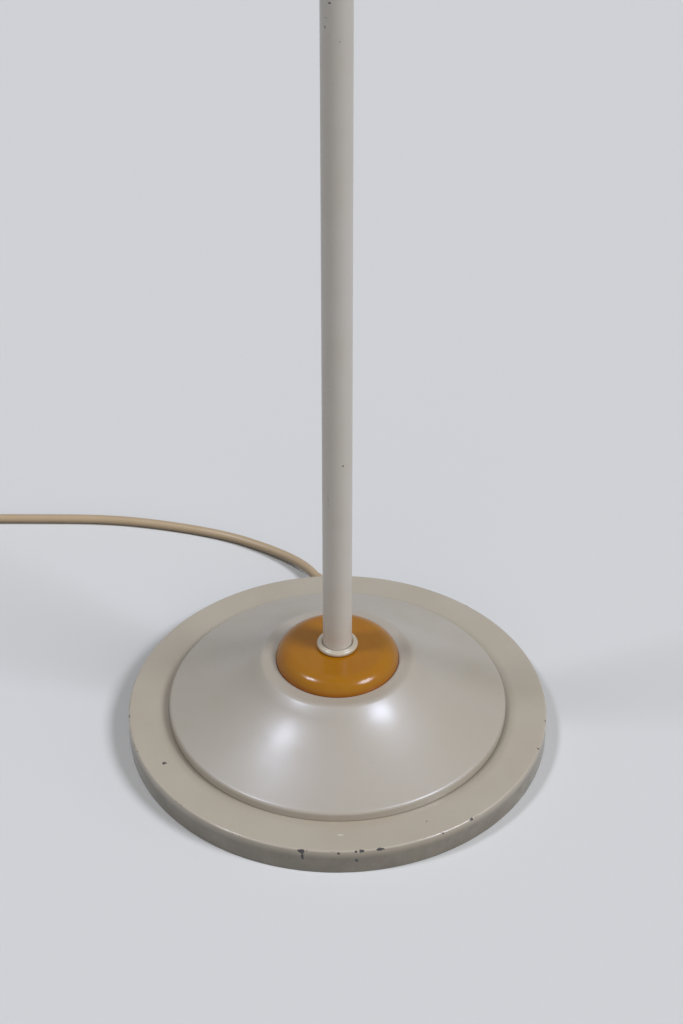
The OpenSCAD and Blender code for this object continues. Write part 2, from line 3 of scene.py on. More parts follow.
import logging
import math
from collections.abc import Sequence
from dataclasses import dataclass, field
from enum import Enum

import bmesh
import bpy
from mathutils import Matrix, Vector


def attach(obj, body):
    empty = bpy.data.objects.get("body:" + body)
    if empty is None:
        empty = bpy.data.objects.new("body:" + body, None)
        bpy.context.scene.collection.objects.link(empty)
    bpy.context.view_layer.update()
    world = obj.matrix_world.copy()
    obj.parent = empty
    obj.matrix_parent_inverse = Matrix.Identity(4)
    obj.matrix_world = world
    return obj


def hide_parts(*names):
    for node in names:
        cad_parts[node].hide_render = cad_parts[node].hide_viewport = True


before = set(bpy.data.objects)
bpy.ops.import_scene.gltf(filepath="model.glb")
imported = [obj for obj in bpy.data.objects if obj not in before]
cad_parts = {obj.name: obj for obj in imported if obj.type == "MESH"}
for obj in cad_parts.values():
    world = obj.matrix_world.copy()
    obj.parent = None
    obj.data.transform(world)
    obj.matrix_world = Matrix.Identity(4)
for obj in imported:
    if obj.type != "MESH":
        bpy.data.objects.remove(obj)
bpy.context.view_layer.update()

LOG = logging.getLogger("lamp")
MM = 0.001

Point = tuple[float, float]
Point3 = tuple[float, float, float]


class Body(Enum):
    """The lamp's rigid bodies; the heads' bodies carry the head's number."""

    STAND = "stand"
    DIAL = "dial"
    SWING = "swing_{}"
    TILT = "tilt_{}"

    def of(self, number: int = 0) -> str:
        """The body's name in the frame."""
        return self.value.format(number)


class Slot(Enum):
    """The record's material slots."""

    FELT = "felt"
    CREAM = "cream_lacquer"
    PEARL = "pearl_lacquer"
    ENAMEL = "orange_enamel"
    CREAM_GLOSS = "cream_gloss"
    POLE = "pole_lacquer"
    SHADE = "shade_lacquer"
    KNUCKLE = "knuckle_metal"
    ZINC = "zinc_steel"
    BRASS = "brass"
    CORD = "cord_pvc"
    PLUG = "plug_plastic"
    TIE = "tie_rubber"
    PHENOLIC = "black_plastic"
    NYLON = "nylon"
    KNOB = "orange_knob"
    GLOBE = "opal_glass"


# Colour and nodes

Tree = bpy.types.NodeTree
# A node stands for its first output, or an output for itself
Source = bpy.types.Node | bpy.types.NodeSocket
Layer = tuple[Source, str]

# Sockets whose names their node gives to more than one
MIX_FACTOR, MIX_A, MIX_B, MIX_RESULT = 0, 6, 7, 2
LENGTH_RESULT = 1


def linear(colour: str) -> tuple[float, float, float, float]:
    """Turn an sRGB hex colour into the linear values that shaders take.

    Args:
        colour: the colour as "#rrggbb".

    Returns:
        Linear red, green, blue and an alpha of 1.
    """
    shares = [int(colour[i : i + 2], 16) / 255 for i in (1, 3, 5)]
    red, green, blue = [s / 12.92 if s <= 0.04045 else ((s + 0.055) / 1.055) ** 2.4 for s in shares]
    return red, green, blue, 1.0


def fill(tree: Tree, node: bpy.types.Node, inputs: dict) -> None:
    """Set a node's inputs.

    Args:
        tree: the node's tree.
        node: the node.
        inputs: socket name or number to a value, or to the node or output that drives it.
    """
    for socket, value in inputs.items():
        source = value.outputs[0] if isinstance(value, bpy.types.Node) else value
        if isinstance(source, bpy.types.NodeSocket):
            tree.links.new(source, node.inputs[socket])
        else:
            node.inputs[socket].default_value = source


def add(tree: Tree, kind: str, inputs: dict | None = None, **settings: object) -> bpy.types.Node:
    """Add a node with its settings and links.

    Args:
        tree: the node tree.
        kind: the node's type, without "ShaderNode".
        inputs: its inputs, as fill takes them.
        **settings: the node's own settings, such as operation.

    Returns:
        The new node.
    """
    node = tree.nodes.new("ShaderNode" + kind)
    for name, value in settings.items():
        setattr(node, name, value)
    fill(tree, node, inputs or {})
    return node


def start_material(name: str) -> tuple[bpy.types.Material, Tree, Source]:
    """Start a material.

    Args:
        name: the real material and how its surface was made.

    Returns:
        The material, its node tree, and the place on the piece in metres.
    """
    made = bpy.data.materials.new(name)
    made.use_nodes = True
    return made, made.node_tree, add(made.node_tree, "TexCoord").outputs["Object"]


def layered(tree: Tree, ground: str, layers: Sequence[Layer]) -> Source:
    """Lay colours over a ground, one after another.

    Args:
        tree: the node tree.
        ground: the ground's hex colour.
        layers: each layer's share, from 0 to 1, and its hex colour.

    Returns:
        The socket of the colour that comes out.
    """
    colour = linear(ground)
    for share, tint in layers:
        mixed = add(tree, "Mix", {MIX_FACTOR: share, MIX_A: colour, MIX_B: linear(tint)}, data_type="RGBA")
        colour = mixed.outputs[MIX_RESULT]
    return colour


def per_metre(size_mm: float) -> float:
    """The texture scale whose features are size_mm across."""
    return 1 / (size_mm * MM)


@dataclass(frozen=True)
class Spot:
    """A mark on a surface: where it is, how large, and how far it is drawn out, in mm."""

    at: Point3
    size: float
    stretch: Point3 = (1.0, 1.0, 1.0)


@dataclass(frozen=True)
class Rim:
    """A round edge: its radius and height, and how wide the band is that wears, soils or takes painted shade
    along it, in mm.
    """

    radius: float
    height: float
    band: float


@dataclass(frozen=True)
class Lacquer:
    """Stoved lacquer, sprayed over metal: a satin skin with a faint orange peel, chipped in places."""

    name: str
    colour: str
    aged: str
    roughness: float
    coat: float = 0.0
    pearl: float = 0.5
    peel_mm: float = 2.2
    peel_um: float = 6.0
    chips: tuple[Spot, ...] = ()
    stains: tuple[Spot, ...] = ()
    nicks: tuple[Spot, ...] = ()
    rim: Rim | None = None
    # Where painted shade with some dirt lies beside a piece that stands on the lacquer, and below what height
    # painted shade darkens the side
    seam_dirt_and_shade: Rim | None = None
    side_shade_height_mm: float = 0.0
    coat_roughness: float = 0.2

    # Colours that show through or lie on the lacquer, one of them for painted shade, and the tint of the
    # light that its flakes throw back
    bare: str = "#2e2823"
    stain: str = "#7d6547"
    # Painted shade, mottled like grime, for the low side and the seam
    shade_and_grime: str = "#625945"
    pale: str = "#e2dccd"
    glint: str = "#eef2ff"

    # Patterns: how large their features are, how far ragged outlines stray, and how deep a chip is
    cloud_mm: float = 55.0
    dust_mm: float = 1.3
    mottle_mm: float = 14.0
    blotch_mm: float = 2.6
    polish_mm: float = 28.0
    knock_mm: float = 7.0
    crumbs_per_mm: float = 0.9
    stray_mm: float = 2.2
    chip_mm: float = 0.15
    bare_roughness: float = 0.75

    # Below this height the painted shade on the side is full, and the painted shade and dirt by the seam run
    # from faint in front of one Y to full behind the other
    full_side_shade_mm: float = 12.0
    faint_seam_y_mm: float = -116.0
    full_seam_y_mm: float = -60.0

    @staticmethod
    def spots_mask(tree: Tree, place: Source, spots: Sequence[Spot], soft: float,
                   mask: Source | None = None) -> Source | None:
        """Join spots into one mask.

        Args:
            tree: the material's node tree.
            place: position in mm, already roughened so that outlines are ragged.
            spots: the spots.
            soft: share of a spot's size over which its edge fades.
            mask: a mask that they are joined to.

        Returns:
            The mask's socket, or None where there is nothing in it.
        """
        for spot in spots:
            away = add(tree, "VectorMath", {0: place, 1: spot.at}, operation="SUBTRACT")
            drawn = add(tree, "VectorMath", {0: away, 1: spot.stretch}, operation="DIVIDE")
            distance = add(tree, "VectorMath", {0: drawn}, operation="LENGTH")
            reach = spot.size / 2
            inside = add(tree, "MapRange", {
                0: distance.outputs[LENGTH_RESULT], 1: reach, 2: reach * (1 - soft), 3: 0.0, 4: 1.0,
            }, interpolation_type="SMOOTHSTEP")
            if mask is not None:
                inside = add(tree, "Math", {0: mask, 1: inside}, operation="MAXIMUM")
            mask = inside
        return mask

    @staticmethod
    def near(tree: Tree, place: Source, rim: Rim) -> Source:
        """How near a place is to a round edge: 1 on it, 0 from its band's width away.

        Args:
            tree: the material's node tree.
            place: position in mm.
            rim: the edge.

        Returns:
            The socket.
        """
        parts = add(tree, "SeparateXYZ", {0: place})
        flat = add(tree, "CombineXYZ", {0: parts.outputs["X"], 1: parts.outputs["Y"]})
        radius = add(tree, "VectorMath", {0: flat}, operation="LENGTH").outputs[LENGTH_RESULT]
        across = add(tree, "Math", {0: radius, 1: rim.radius}, operation="SUBTRACT")
        up = add(tree, "Math", {0: parts.outputs["Z"], 1: rim.height}, operation="SUBTRACT")
        offset = add(tree, "CombineXYZ", {0: across, 1: up})
        distance = add(tree, "VectorMath", {0: offset}, operation="LENGTH").outputs[LENGTH_RESULT]
        return add(tree, "MapRange", {0: distance, 1: rim.band, 2: 0.0, 3: 0.0, 4: 1.0})

    def rim_mask(self, tree: Tree, place: Source) -> Source:
        """Scattered small chips along the knocked edge.

        Args:
            tree: the material's node tree.
            place: position in mm.

        Returns:
            The mask's socket.
        """
        near = self.near(tree, place, self.rim)
        knocks = add(tree, "TexNoise", {
            "Vector": place, "Scale": 1 / self.knock_mm, "Detail": 3.0, "Roughness": 0.6,
        })
        together = add(tree, "Math", {0: knocks, 1: near}, operation="MULTIPLY")
        return add(tree, "MapRange", {0: together, 1: 0.58, 2: 0.62, 3: 0.0, 4: 1.0})

    def ageing(self, tree: Tree, place: Source) -> list[Layer]:
        """Old lacquer yellows unevenly, in clouds, and dust and handling leave fine darker specks.

        Args:
            tree: the material's node tree.
            place: position in metres.

        Returns:
            The layers.
        """
        clouds = add(tree, "TexNoise", {
            "Vector": place, "Scale": per_metre(self.cloud_mm), "Detail": 3.0, "Roughness": 0.55,
        })
        cloudy = add(tree, "MapRange", {0: clouds, 1: 0.35, 2: 0.7, 3: 0.0, 4: 0.55})
        dust = add(tree, "TexNoise", {"Vector": place, "Scale": per_metre(self.dust_mm), "Detail": 1.0})
        specks = add(tree, "MapRange", {0: dust, 1: 0.70, 2: 0.78, 3: 0.0, 4: 0.22})
        return [(cloudy, self.aged), (specks, self.stain)]

    def soiling_and_shade(self, tree: Tree, place: Source, in_mm: Source, ragged: Source) -> list[Layer]:
        """Painted shade mottled like grime low on the side, painted shade with some dirt by the seam, stains,
        and pale nicks.

        Args:
            tree: the material's node tree.
            place: position in metres.
            in_mm: position in mm.
            ragged: the same, roughened.

        Returns:
            The layers, none for what the lacquer hasn't got.
        """
        layers: list[Layer] = []
        # Painted shade, mottled like grime: the colour darkens towards the bottom of the side
        if self.side_shade_height_mm:
            height = add(tree, "SeparateXYZ", {0: in_mm}).outputs["Z"]
            low = add(tree, "MapRange", {
                0: height, 1: self.side_shade_height_mm, 2: self.full_side_shade_mm, 3: 0.0, 4: 1.0,
            }, interpolation_type="SMOOTHSTEP")
            mottle = add(tree, "TexNoise", {
                "Vector": place, "Scale": per_metre(self.mottle_mm), "Detail": 4.0, "Roughness": 0.65,
            })
            mottled = add(tree, "MapRange", {0: mottle, 1: 0.3, 2: 0.7, 3: 0.64, 4: 0.84})
            shaded_side = add(tree, "Math", {0: low, 1: mottled}, operation="MULTIPLY")
            layers.append((shaded_side, self.shade_and_grime))

        # Where another piece stands on the lacquer: painted shade with some dirt, a dark line in a soft brown
        # band, faint at the front and full behind
        if self.seam_dirt_and_shade:
            close = self.near(tree, ragged, self.seam_dirt_and_shade)
            band = add(tree, "Math", {0: close, 1: 1.2}, operation="POWER")
            depth = add(tree, "SeparateXYZ", {0: in_mm}).outputs["Y"]
            left = add(tree, "MapRange", {
                0: depth, 1: self.faint_seam_y_mm, 2: self.full_seam_y_mm, 3: 0.06, 4: 0.50,
            })
            touching = self.near(tree, in_mm, self.seam_dirt_and_shade)
            line = add(tree, "MapRange", {0: touching, 1: 0.87, 2: 0.95, 3: 0.0, 4: 0.2})
            seam_darkening = add(tree, "Math", {0: band, 1: left, 2: line}, operation="MULTIPLY_ADD", use_clamp=True)
            layers.append((seam_darkening, self.shade_and_grime))

        # Stains are blotchy: a fine noise breaks them up
        blotches = add(tree, "TexNoise", {
            "Vector": place, "Scale": per_metre(self.blotch_mm), "Detail": 3.0, "Roughness": 0.7,
        })
        broken = add(tree, "MapRange", {0: blotches, 1: 0.42, 2: 0.62, 3: 0.1, 4: 0.75})
        marks = ((self.stains, self.stain, 1.0, broken), (self.nicks, self.pale, 0.4, 0.7))
        for spots, tint, soft, strength in marks:
            mask = self.spots_mask(tree, ragged, spots, soft)
            if mask is not None:
                faint = add(tree, "Math", {0: mask, 1: strength}, operation="MULTIPLY")
                layers.append((faint, tint))
        return layers

    def material(self) -> bpy.types.Material:
        """Build the lacquer's material.

        Returns:
            The material.
        """
        made, tree, place = start_material(self.name)
        in_mm = add(tree, "VectorMath", {0: place, "Scale": 1 / MM}, operation="SCALE")
        crumbs = add(tree, "TexNoise", {"Vector": in_mm, "Scale": self.crumbs_per_mm, "Detail": 2.0})
        push = add(tree, "VectorMath", {0: crumbs.outputs[1], 1: (0.5, 0.5, 0.5)}, operation="SUBTRACT")
        pushed = add(tree, "VectorMath", {0: push, "Scale": self.stray_mm}, operation="SCALE")
        ragged = add(tree, "VectorMath", {0: in_mm, 1: pushed}, operation="ADD")

        layers = [*self.ageing(tree, place), *self.soiling_and_shade(tree, place, in_mm, ragged)]
        uneven = add(tree, "TexNoise", {"Vector": place, "Scale": per_metre(self.polish_mm), "Detail": 4.0})
        roughness = add(tree, "MapRange", {
            0: uneven, 1: 0.3, 2: 0.7, 3: self.roughness - 0.04, 4: self.roughness + 0.05,
        })
        peel = add(tree, "TexNoise", {"Vector": place, "Scale": per_metre(self.peel_mm), "Detail": 2.0})
        normal = add(tree, "Bump", {
            "Strength": 1.0, "Distance": self.peel_um * MM * MM, "Height": peel,
        })

        worn_rim = self.rim_mask(tree, in_mm) if self.rim else None
        chipped = self.spots_mask(tree, ragged, self.chips, 0.25, worn_rim)
        if chipped is not None:
            layers.append((chipped, self.bare))
            roughness = add(tree, "MapRange", {0: chipped, 3: roughness, 4: self.bare_roughness})
            normal = add(tree, "Bump", {
                "Strength": 1.0, "Distance": self.chip_mm * MM, "Height": chipped, "Normal": normal,
            }, invert=True)

        fill(tree, tree.nodes["Principled BSDF"], {
            "Base Color": layered(tree, self.colour, layers), "Roughness": roughness, "Normal": normal,
            "IOR": 1.55, "Specular IOR Level": self.pearl, "Specular Tint": linear(self.glint),
            "Coat Weight": self.coat, "Coat Roughness": self.coat_roughness,
        })
        return made


@dataclass(frozen=True)
class Moulded:
    """Moulded plastic: gloss with faint flow marks, and a deeper colour at its foot where one is given."""

    name: str
    colour: str
    deep: str
    roughness: float
    deep_from_mm: float = 0.0
    deep_to_mm: float = 0.0
    grain_um: float = 2.0
    gloss: float = 0.5

    # Patterns: how wide the flow marks, the wiped patches and the skin's grain are
    flow_mm: float = 22.0
    wiped_mm: float = 9.0
    grain_mm: float = 1.6

    def material(self) -> bpy.types.Material:
        """Build the plastic's material.

        Returns:
            The material.
        """
        made, tree, place = start_material(self.name)
        flow = add(tree, "TexNoise", {
            "Vector": place, "Scale": per_metre(self.flow_mm), "Detail": 3.0, "Distortion": 0.6,
        })
        factor = add(tree, "MapRange", {0: flow, 1: 0.3, 2: 0.75, 3: 0.0, 4: 0.3})
        if self.deep_from_mm != self.deep_to_mm:
            height = add(tree, "SeparateXYZ", {0: place}).outputs["Z"]
            low = add(tree, "MapRange", {
                0: height, 1: self.deep_from_mm * MM, 2: self.deep_to_mm * MM, 3: 0.0, 4: 0.8,
            }, interpolation_type="SMOOTHSTEP")
            factor = add(tree, "Math", {0: factor, 1: low}, operation="ADD", use_clamp=True)
        wiped = add(tree, "TexNoise", {
            "Vector": place, "Scale": per_metre(self.wiped_mm), "Detail": 5.0, "Roughness": 0.6,
        })
        roughness = add(tree, "MapRange", {
            0: wiped, 1: 0.35, 2: 0.75, 3: self.roughness, 4: self.roughness + 0.07,
        })
        grain = add(tree, "TexNoise", {"Vector": place, "Scale": per_metre(self.grain_mm), "Detail": 2.0})
        normal = add(tree, "Bump", {
            "Strength": 1.0, "Distance": self.grain_um * MM * MM, "Height": grain,
        })
        fill(tree, tree.nodes["Principled BSDF"], {
            "Base Color": layered(tree, self.colour, [(factor, self.deep)]),
            "Roughness": roughness, "Normal": normal,
            "IOR": 1.54, "Specular IOR Level": self.gloss,
        })
        return made


@dataclass(frozen=True)
class Metal:
    """Turned or plated metal: fine lathe marks and a breath of tarnish."""

    name: str
    colour: str
    tarnish: str
    roughness: float

    # Patterns: real lathe marks are about a fifth as wide, and are drawn this coarse so that they show
    tarnish_mm: float = 6.0
    mark_mm: float = 0.5
    mark_um: float = 4.0

    def material(self) -> bpy.types.Material:
        """Build the metal's material.

        Returns:
            The material.
        """
        made, tree, place = start_material(self.name)
        dull = add(tree, "TexNoise", {"Vector": place, "Scale": per_metre(self.tarnish_mm), "Detail": 4.0})
        factor = add(tree, "MapRange", {0: dull, 1: 0.4, 2: 0.75, 3: 0.0, 4: 0.7})
        roughness = add(tree, "MapRange", {0: factor, 3: self.roughness, 4: self.roughness + 0.2})
        marks = add(tree, "TexNoise", {"Vector": place, "Scale": per_metre(self.mark_mm), "Detail": 1.0})
        normal = add(tree, "Bump", {
            "Strength": 1.0, "Distance": self.mark_um * MM * MM, "Height": marks,
        })
        fill(tree, tree.nodes["Principled BSDF"], {
            "Base Color": layered(tree, self.colour, [(factor, self.tarnish)]), "Metallic": 1.0,
            "Roughness": roughness, "Normal": normal,
        })
        return made


@dataclass(frozen=True)
class Felt:
    """Pressed wool felt: matt, with short fibres lying every way."""

    name: str
    colour: str
    light: str

    # Patterns: real wool fibres are far finer, and are drawn this coarse so that they show
    fibre_mm: float = 0.6
    nap_mm: float = 0.15

    def material(self) -> bpy.types.Material:
        """Build the felt's material.

        Returns:
            The material.
        """
        made, tree, place = start_material(self.name)
        fibres = add(tree, "TexNoise", {
            "Vector": place, "Scale": per_metre(self.fibre_mm), "Detail": 4.0, "Distortion": 2.5,
        })
        factor = add(tree, "MapRange", {0: fibres, 1: 0.35, 2: 0.7})
        normal = add(tree, "Bump", {
            "Strength": 1.0, "Distance": self.nap_mm * MM, "Height": fibres,
        })
        fill(tree, tree.nodes["Principled BSDF"], {
            "Base Color": layered(tree, self.colour, [(factor, self.light)]), "Normal": normal,
            "Roughness": 0.95, "Sheen Weight": 0.3,
        })
        return made


# Wear of the foot: where the lacquer is knocked through, stained or nicked
FOOT_CHIPS = (
    Spot((-121.3, -62.0, 20.0), 3.4), Spot((-141.0, -49.6, 20.0), 1.4), Spot((-149.4, -12.5, 19.6), 2.4),
    Spot((-24.4, -148.2, 18.5), 3.9, (1.5, 1.0, 1.0)), Spot((-23.6, -148.2, 14.4), 2.4, (1.0, 1.0, 3.2)),
    Spot((-20.8, -148.6, 19.6), 1.8), Spot((0.8, -150.0, 18.2), 2.0), Spot((12.6, -149.5, 19.4), 2.0),
    Spot((16.6, -149.1, 19.4), 3.2, (1.3, 1.0, 0.8)), Spot((13.0, -149.5, 11.2), 2.6, (1.0, 1.0, 1.4)),
    Spot((29.4, -147.1, 19.4), 3.0, (2.4, 1.0, 0.8)), Spot((72.0, -131.6, 19.4), 1.6),
    Spot((92.3, -118.2, 19.5), 2.6, (1.3, 1.3, 0.8)),
    Spot((60.8, -120.2, 20.0), 1.2), Spot((141.7, -46.6, 19.6), 2.0), Spot((148.5, -17.3, 19.5), 2.0),
    Spot((98.0, 113.4, 19.4), 2.6, (1.6, 1.2, 1.0)), Spot((-104.0, 108.0, 18.6), 2.8),
    Spot((30.0, 146.9, 10.0), 2.4), Spot((150.0, 12.0, 7.0), 2.0), Spot((-146.0, 33.0, 6.0), 2.6),
)
FOOT_STAINS = (
    Spot((27.0, -147.5, 8.9), 7.0, (2.2, 1.0, 1.0)), Spot((-60.0, -137.5, 6.0), 6.0, (2.0, 1.0, 0.7)),
    Spot((107.8, -93.3, 20.0), 2.5), Spot((-90.0, -119.0, 9.0), 8.0, (1.6, 1.3, 0.8)),
    Spot((80.0, -126.0, 8.0), 6.0, (2.0, 1.4, 0.7)),
)
FOOT_NICKS = (Spot((2.1, -133.9, 20.0), 2.4, (2.0, 0.6, 1.0)),)
COVER_CHIPS = (
    Spot((-58.0, -62.0, 45.5), 1.1), Spot((52.0, 52.0, 52.0), 1.0), Spot((-80.0, 60.0, 38.0), 1.0),
    Spot((30.0, 96.0, 36.0), 1.2),
)
COVER_NICKS = (
    Spot((98.1, 30.6, 38.0), 2.6, (1.0, 1.6, 1.0)), Spot((44.0, -50.0, 60.0), 1.2, (3.0, 1.0, 1.0)),
)
POLE_CHIPS = (
    Spot((-4.1, -9.4, 576.7), 1.6), Spot((-6.5, -7.9, 566.3), 1.2), Spot((-7.1, -7.4, 560.2), 1.3),
    Spot((-4.2, -9.4, 554.6), 1.0), Spot((1.8, -10.1, 551.7), 0.9),
    Spot((3.9, -9.5, 239.3), 1.3, (1.6, 1.0, 0.6)), Spot((5.0, 8.9, 420.0), 1.4),
    Spot((-9.8, 3.0, 700.0), 1.3), Spot((9.9, -2.6, 893.0), 1.5), Spot((-2.0, 10.0, 985.0), 1.2),
)
POLE_STAINS = (
    Spot((-6.2, -8.1, 209.0), 1.8, (0.7, 0.7, 13.0)), Spot((-6.0, -8.3, 330.0), 1.4, (0.6, 0.6, 9.0)),
)

FINISHES: dict[Slot, Lacquer | Moulded | Metal | Felt] = {
    # Pearl lacquer over cast iron: flakes in it give the wide, soft sheen, its clear skin the edge lights
    Slot.CREAM: Lacquer(
        "Pearl cream lacquer on cast iron, sprayed", "#b9ac96", "#afa087", 0.50, 0.85, 0.7, 2.6, 8.0,
        # Painted shade with some dirt in the band round the cover, and painted shade mottled like grime on
        # the low side
        FOOT_CHIPS, FOOT_STAINS, FOOT_NICKS, rim=Rim(149.6, 19.4, 1.6), seam_dirt_and_shade=Rim(120.7, 20.0, 9.0),
        side_shade_height_mm=19.0, coat_roughness=0.16),
    # The same lacquer on spun steel, where the smooth sheet shows each softbox as a blurred spot
    Slot.PEARL: Lacquer(
        "Pearl cream lacquer on spun steel, sprayed", "#b3a896", "#aa9d84", 0.42, 0.42, 1.0, 2.0, 3.0,
        COVER_CHIPS, (), COVER_NICKS, coat_roughness=0.24),
    # On the shades' thin spun sheet it is smooth and unworn: one long soft highlight down each cone
    Slot.SHADE: Lacquer(
        "Pearl cream lacquer on spun aluminium, sprayed", "#bab09e", "#b2a58f", 0.44, 0.45, 1.0, 2.0, 3.0),
    # Harder and glossier on the small turned pieces: narrow bright lines round their beads
    Slot.CREAM_GLOSS: Lacquer(
        "Cream lacquer on turned steel, stoved gloss", "#c7baa1", "#b9aa8c", 0.25, 0.5, 0.5, 1.6, 2.0),
    # On drawn tube: a broad, straight band of light down its length, broken by a few chips
    Slot.POLE: Lacquer(
        "Pearl cream lacquer on steel tube, stoved", "#d3cabb", "#c9bda8", 0.44, 0.3, 1.0, 1.8, 4.0,
        POLE_CHIPS, POLE_STAINS),
    # Over a casting: satin, with the metal's grain as a fine unevenness
    Slot.KNUCKLE: Lacquer(
        "Pearl cream lacquer on cast aluminium, stoved", "#bcb5a9", "#b1a795", 0.46, 0.3, 0.8, 1.2, 6.0),
    # Urea resin with a polished skin: sharp small highlights, the colour darker and redder towards its foot
    Slot.ENAMEL: Moulded(
        "Orange urea resin, moulded and polished", "#a86e00", "#9c4e02", 0.16, 70.0, 62.0, gloss=0.32),
    # The same resin where fingers turn it: a little duller and browner than the rings
    Slot.KNOB: Moulded("Orange urea resin, moulded grip", "#ac7106", "#9d5406", 0.18, gloss=0.4),
    # Brown-black and dense, with a dull gloss
    Slot.PHENOLIC: Moulded("Phenolic resin, moulded dark", "#2a2422", "#1d1816", 0.28),
    # Milky and waxy, with no sharp highlight
    Slot.NYLON: Moulded("Natural nylon, turned", "#ddd8cb", "#cfc8b8", 0.45),
    # Etched opal glass: an even white with a soft highlight
    Slot.GLOBE: Moulded("Opal globe, satin", "#efece2", "#e6e1d3", 0.30),
    # A soft sheath with an uneven skin: one dull line of light along its top
    Slot.CORD: Moulded("PVC sheath, extruded", "#bda481", "#ac9069", 0.34, grain_um=8.0),
    # The same plastic from a mould, with light caught along its eased edges
    Slot.PLUG: Moulded("PVC plug, moulded", "#bfa888", "#ae9470", 0.36, grain_um=10.0),
    # Black and matt, with hardly any shine
    Slot.TIE: Moulded("Rubber band, moulded matt", "#23211f", "#1a1817", 0.75, grain_um=12.0),
    # Bluish grey, bright along turned edges and dull in patches
    Slot.ZINC: Metal("Zinc plated steel, turned", "#b4b6b8", "#8d8f90", 0.28),
    # Yellow and bright, browner in patches
    Slot.BRASS: Metal("Brass, turned", "#c2a25a", "#94783f", 0.28),
    # Dark and without shine, paler where fibres stand up
    Slot.FELT: Felt("Wool felt, pressed", "#2c2926", "#4a4641"),
}
# Matt white enamel inside the shades, which spreads the light
SHADE_LINING = Lacquer("White enamel in the shades, sprayed matt", "#e6e3da", "#d9d4c6", 0.6)

MATERIALS = {slot: finish.material() for slot, finish in FINISHES.items()}
LINING = SHADE_LINING.material()


# Shapes


def arc(centre: Point, radius: float, start: float, end: float, steps: int) -> list[Point]:
    """Points on an arc.

    Args:
        centre: the arc's centre.
        radius: its radius.
        start: its first angle in degrees.
        end: its last angle in degrees.
        steps: number of stretches.

    Returns:
        steps + 1 points.
    """
    angles = [math.radians(start + (end - start) * i / steps) for i in range(steps + 1)]
    return [(centre[0] + radius * math.cos(a), centre[1] + radius * math.sin(a)) for a in angles]


def curve(control: Sequence[Point], steps: int) -> list[Point]:
    """Points on a cubic curve.

    Args:
        control: its two ends and, between them, its two handles.
        steps: number of stretches.

    Returns:
        steps + 1 points.
    """
    made = []
    for i in range(steps + 1):
        t = i / steps
        s = 1 - t
        shares = (s**3, 3 * s * s * t, 3 * s * t * t, t**3)
        made.append(tuple(sum(w * p[axis] for w, p in zip(shares, control)) for axis in (0, 1)))
    return made


def quarter(centre: Point, across: float, up: float, steps: int) -> list[Point]:
    """Points on a quarter of an ellipse, from its side to its top.

    Args:
        centre: the ellipse's centre.
        across: its reach to the side.
        up: its reach upwards.
        steps: number of stretches.

    Returns:
        steps + 1 points.
    """
    angles = [math.pi / 2 * i / steps for i in range(steps + 1)]
    return [(centre[0] + across * math.cos(a), centre[1] + up * math.sin(a)) for a in angles]


def inner_face(line: Sequence[Point], thickness: float) -> list[Point]:
    """The other face of a sheet.

    Args:
        line: the outline of one face.
        thickness: the sheet's thickness, to the left of the line.

    Returns:
        The moved points, in the same order.
    """
    made = []
    for i, point in enumerate(line):
        before = Vector(line[max(i, 1)]) - Vector(line[max(i, 1) - 1])
        last = min(i, len(line) - 2)
        after = Vector(line[last + 1]) - Vector(line[last])
        side = Vector((-before.y, before.x)).normalized()
        middle = (side + Vector((-after.y, after.x)).normalized()).normalized()
        moved = Vector(point) + middle * thickness / middle.dot(side)
        made.append((moved.x, moved.y))
    return made


def tube_outline(inner: float, outer: float, low: float, high: float, ease: float) -> list[Point]:
    """The outline of a tube with eased ends.

    Args:
        inner: radius of its bore.
        outer: its outer radius.
        low: height of its lower end.
        high: height of its upper end.
        ease: size of the eased edges.

    Returns:
        The outline, with points close to each end that keep the long wall's shading straight.
    """
    hold = 3 * ease
    return [
        (inner, low), (outer - ease, low), (outer, low + ease), (outer, low + hold),
        (outer, high - hold), (outer, high - ease), (outer - ease, high), (inner, high),
    ]


def finish_mesh(name: str, mesh: bpy.types.Mesh, place: Matrix, sharp_degrees: float) -> bpy.types.Object:
    """Turn a mesh into an object in the row frame, smooth but for its sharp edges.

    Args:
        name: the piece's name.
        mesh: the mesh, in its own frame.
        place: where that frame is.
        sharp_degrees: edges that turn more than this stay sharp.

    Returns:
        The new object.
    """
    work = bmesh.new()
    work.from_mesh(mesh)
    bmesh.ops.recalc_face_normals(work, faces=work.faces)
    work.to_mesh(mesh)
    work.free()
    mesh.transform(place)
    mesh.shade_smooth()
    mesh.set_sharp_from_angle(angle=math.radians(sharp_degrees))
    piece = bpy.data.objects.new(name, mesh)
    bpy.context.scene.collection.objects.link(piece)
    return piece


def turned(name: str, outline: Sequence[Point], steps: int, place: Matrix | None = None,
           closed: bool = True, sharp_degrees: float = 35.0) -> bpy.types.Object:
    """Turn an outline about the Z axis.

    Args:
        name: the piece's name.
        outline: radius and height of each point, in mm; a radius of 0 lies on the axis.
        steps: number of steps round.
        place: the piece's frame, the row frame where it is left out.
        closed: whether the last point joins the first.
        sharp_degrees: edges that turn more than this stay sharp.

    Returns:
        The turned piece; each face's material index is 0.
    """
    points: list[Point3] = []
    rings: list[list[int]] = []
    for radius, height in outline:
        first = len(points)
        if radius < 1e-6:
            points.append((0.0, 0.0, height * MM))
            rings.append([first] * steps)
            continue
        for k in range(steps):
            angle = 2 * math.pi * k / steps
            points.append((radius * MM * math.cos(angle), radius * MM * math.sin(angle), height * MM))
        rings.append(list(range(first, first + steps)))
    faces = []
    for i in range(len(rings) if closed else len(rings) - 1):
        low, high = rings[i], rings[(i + 1) % len(rings)]
        for k in range(steps):
            corners = [low[k], low[(k + 1) % steps], high[(k + 1) % steps], high[k]]
            around = list(dict.fromkeys(corners))
            if len(around) > 2:
                faces.append(around)
    mesh = bpy.data.meshes.new(name)
    mesh.from_pydata(points, [], faces)
    return finish_mesh(name, mesh, place or Matrix.Identity(4), sharp_degrees)


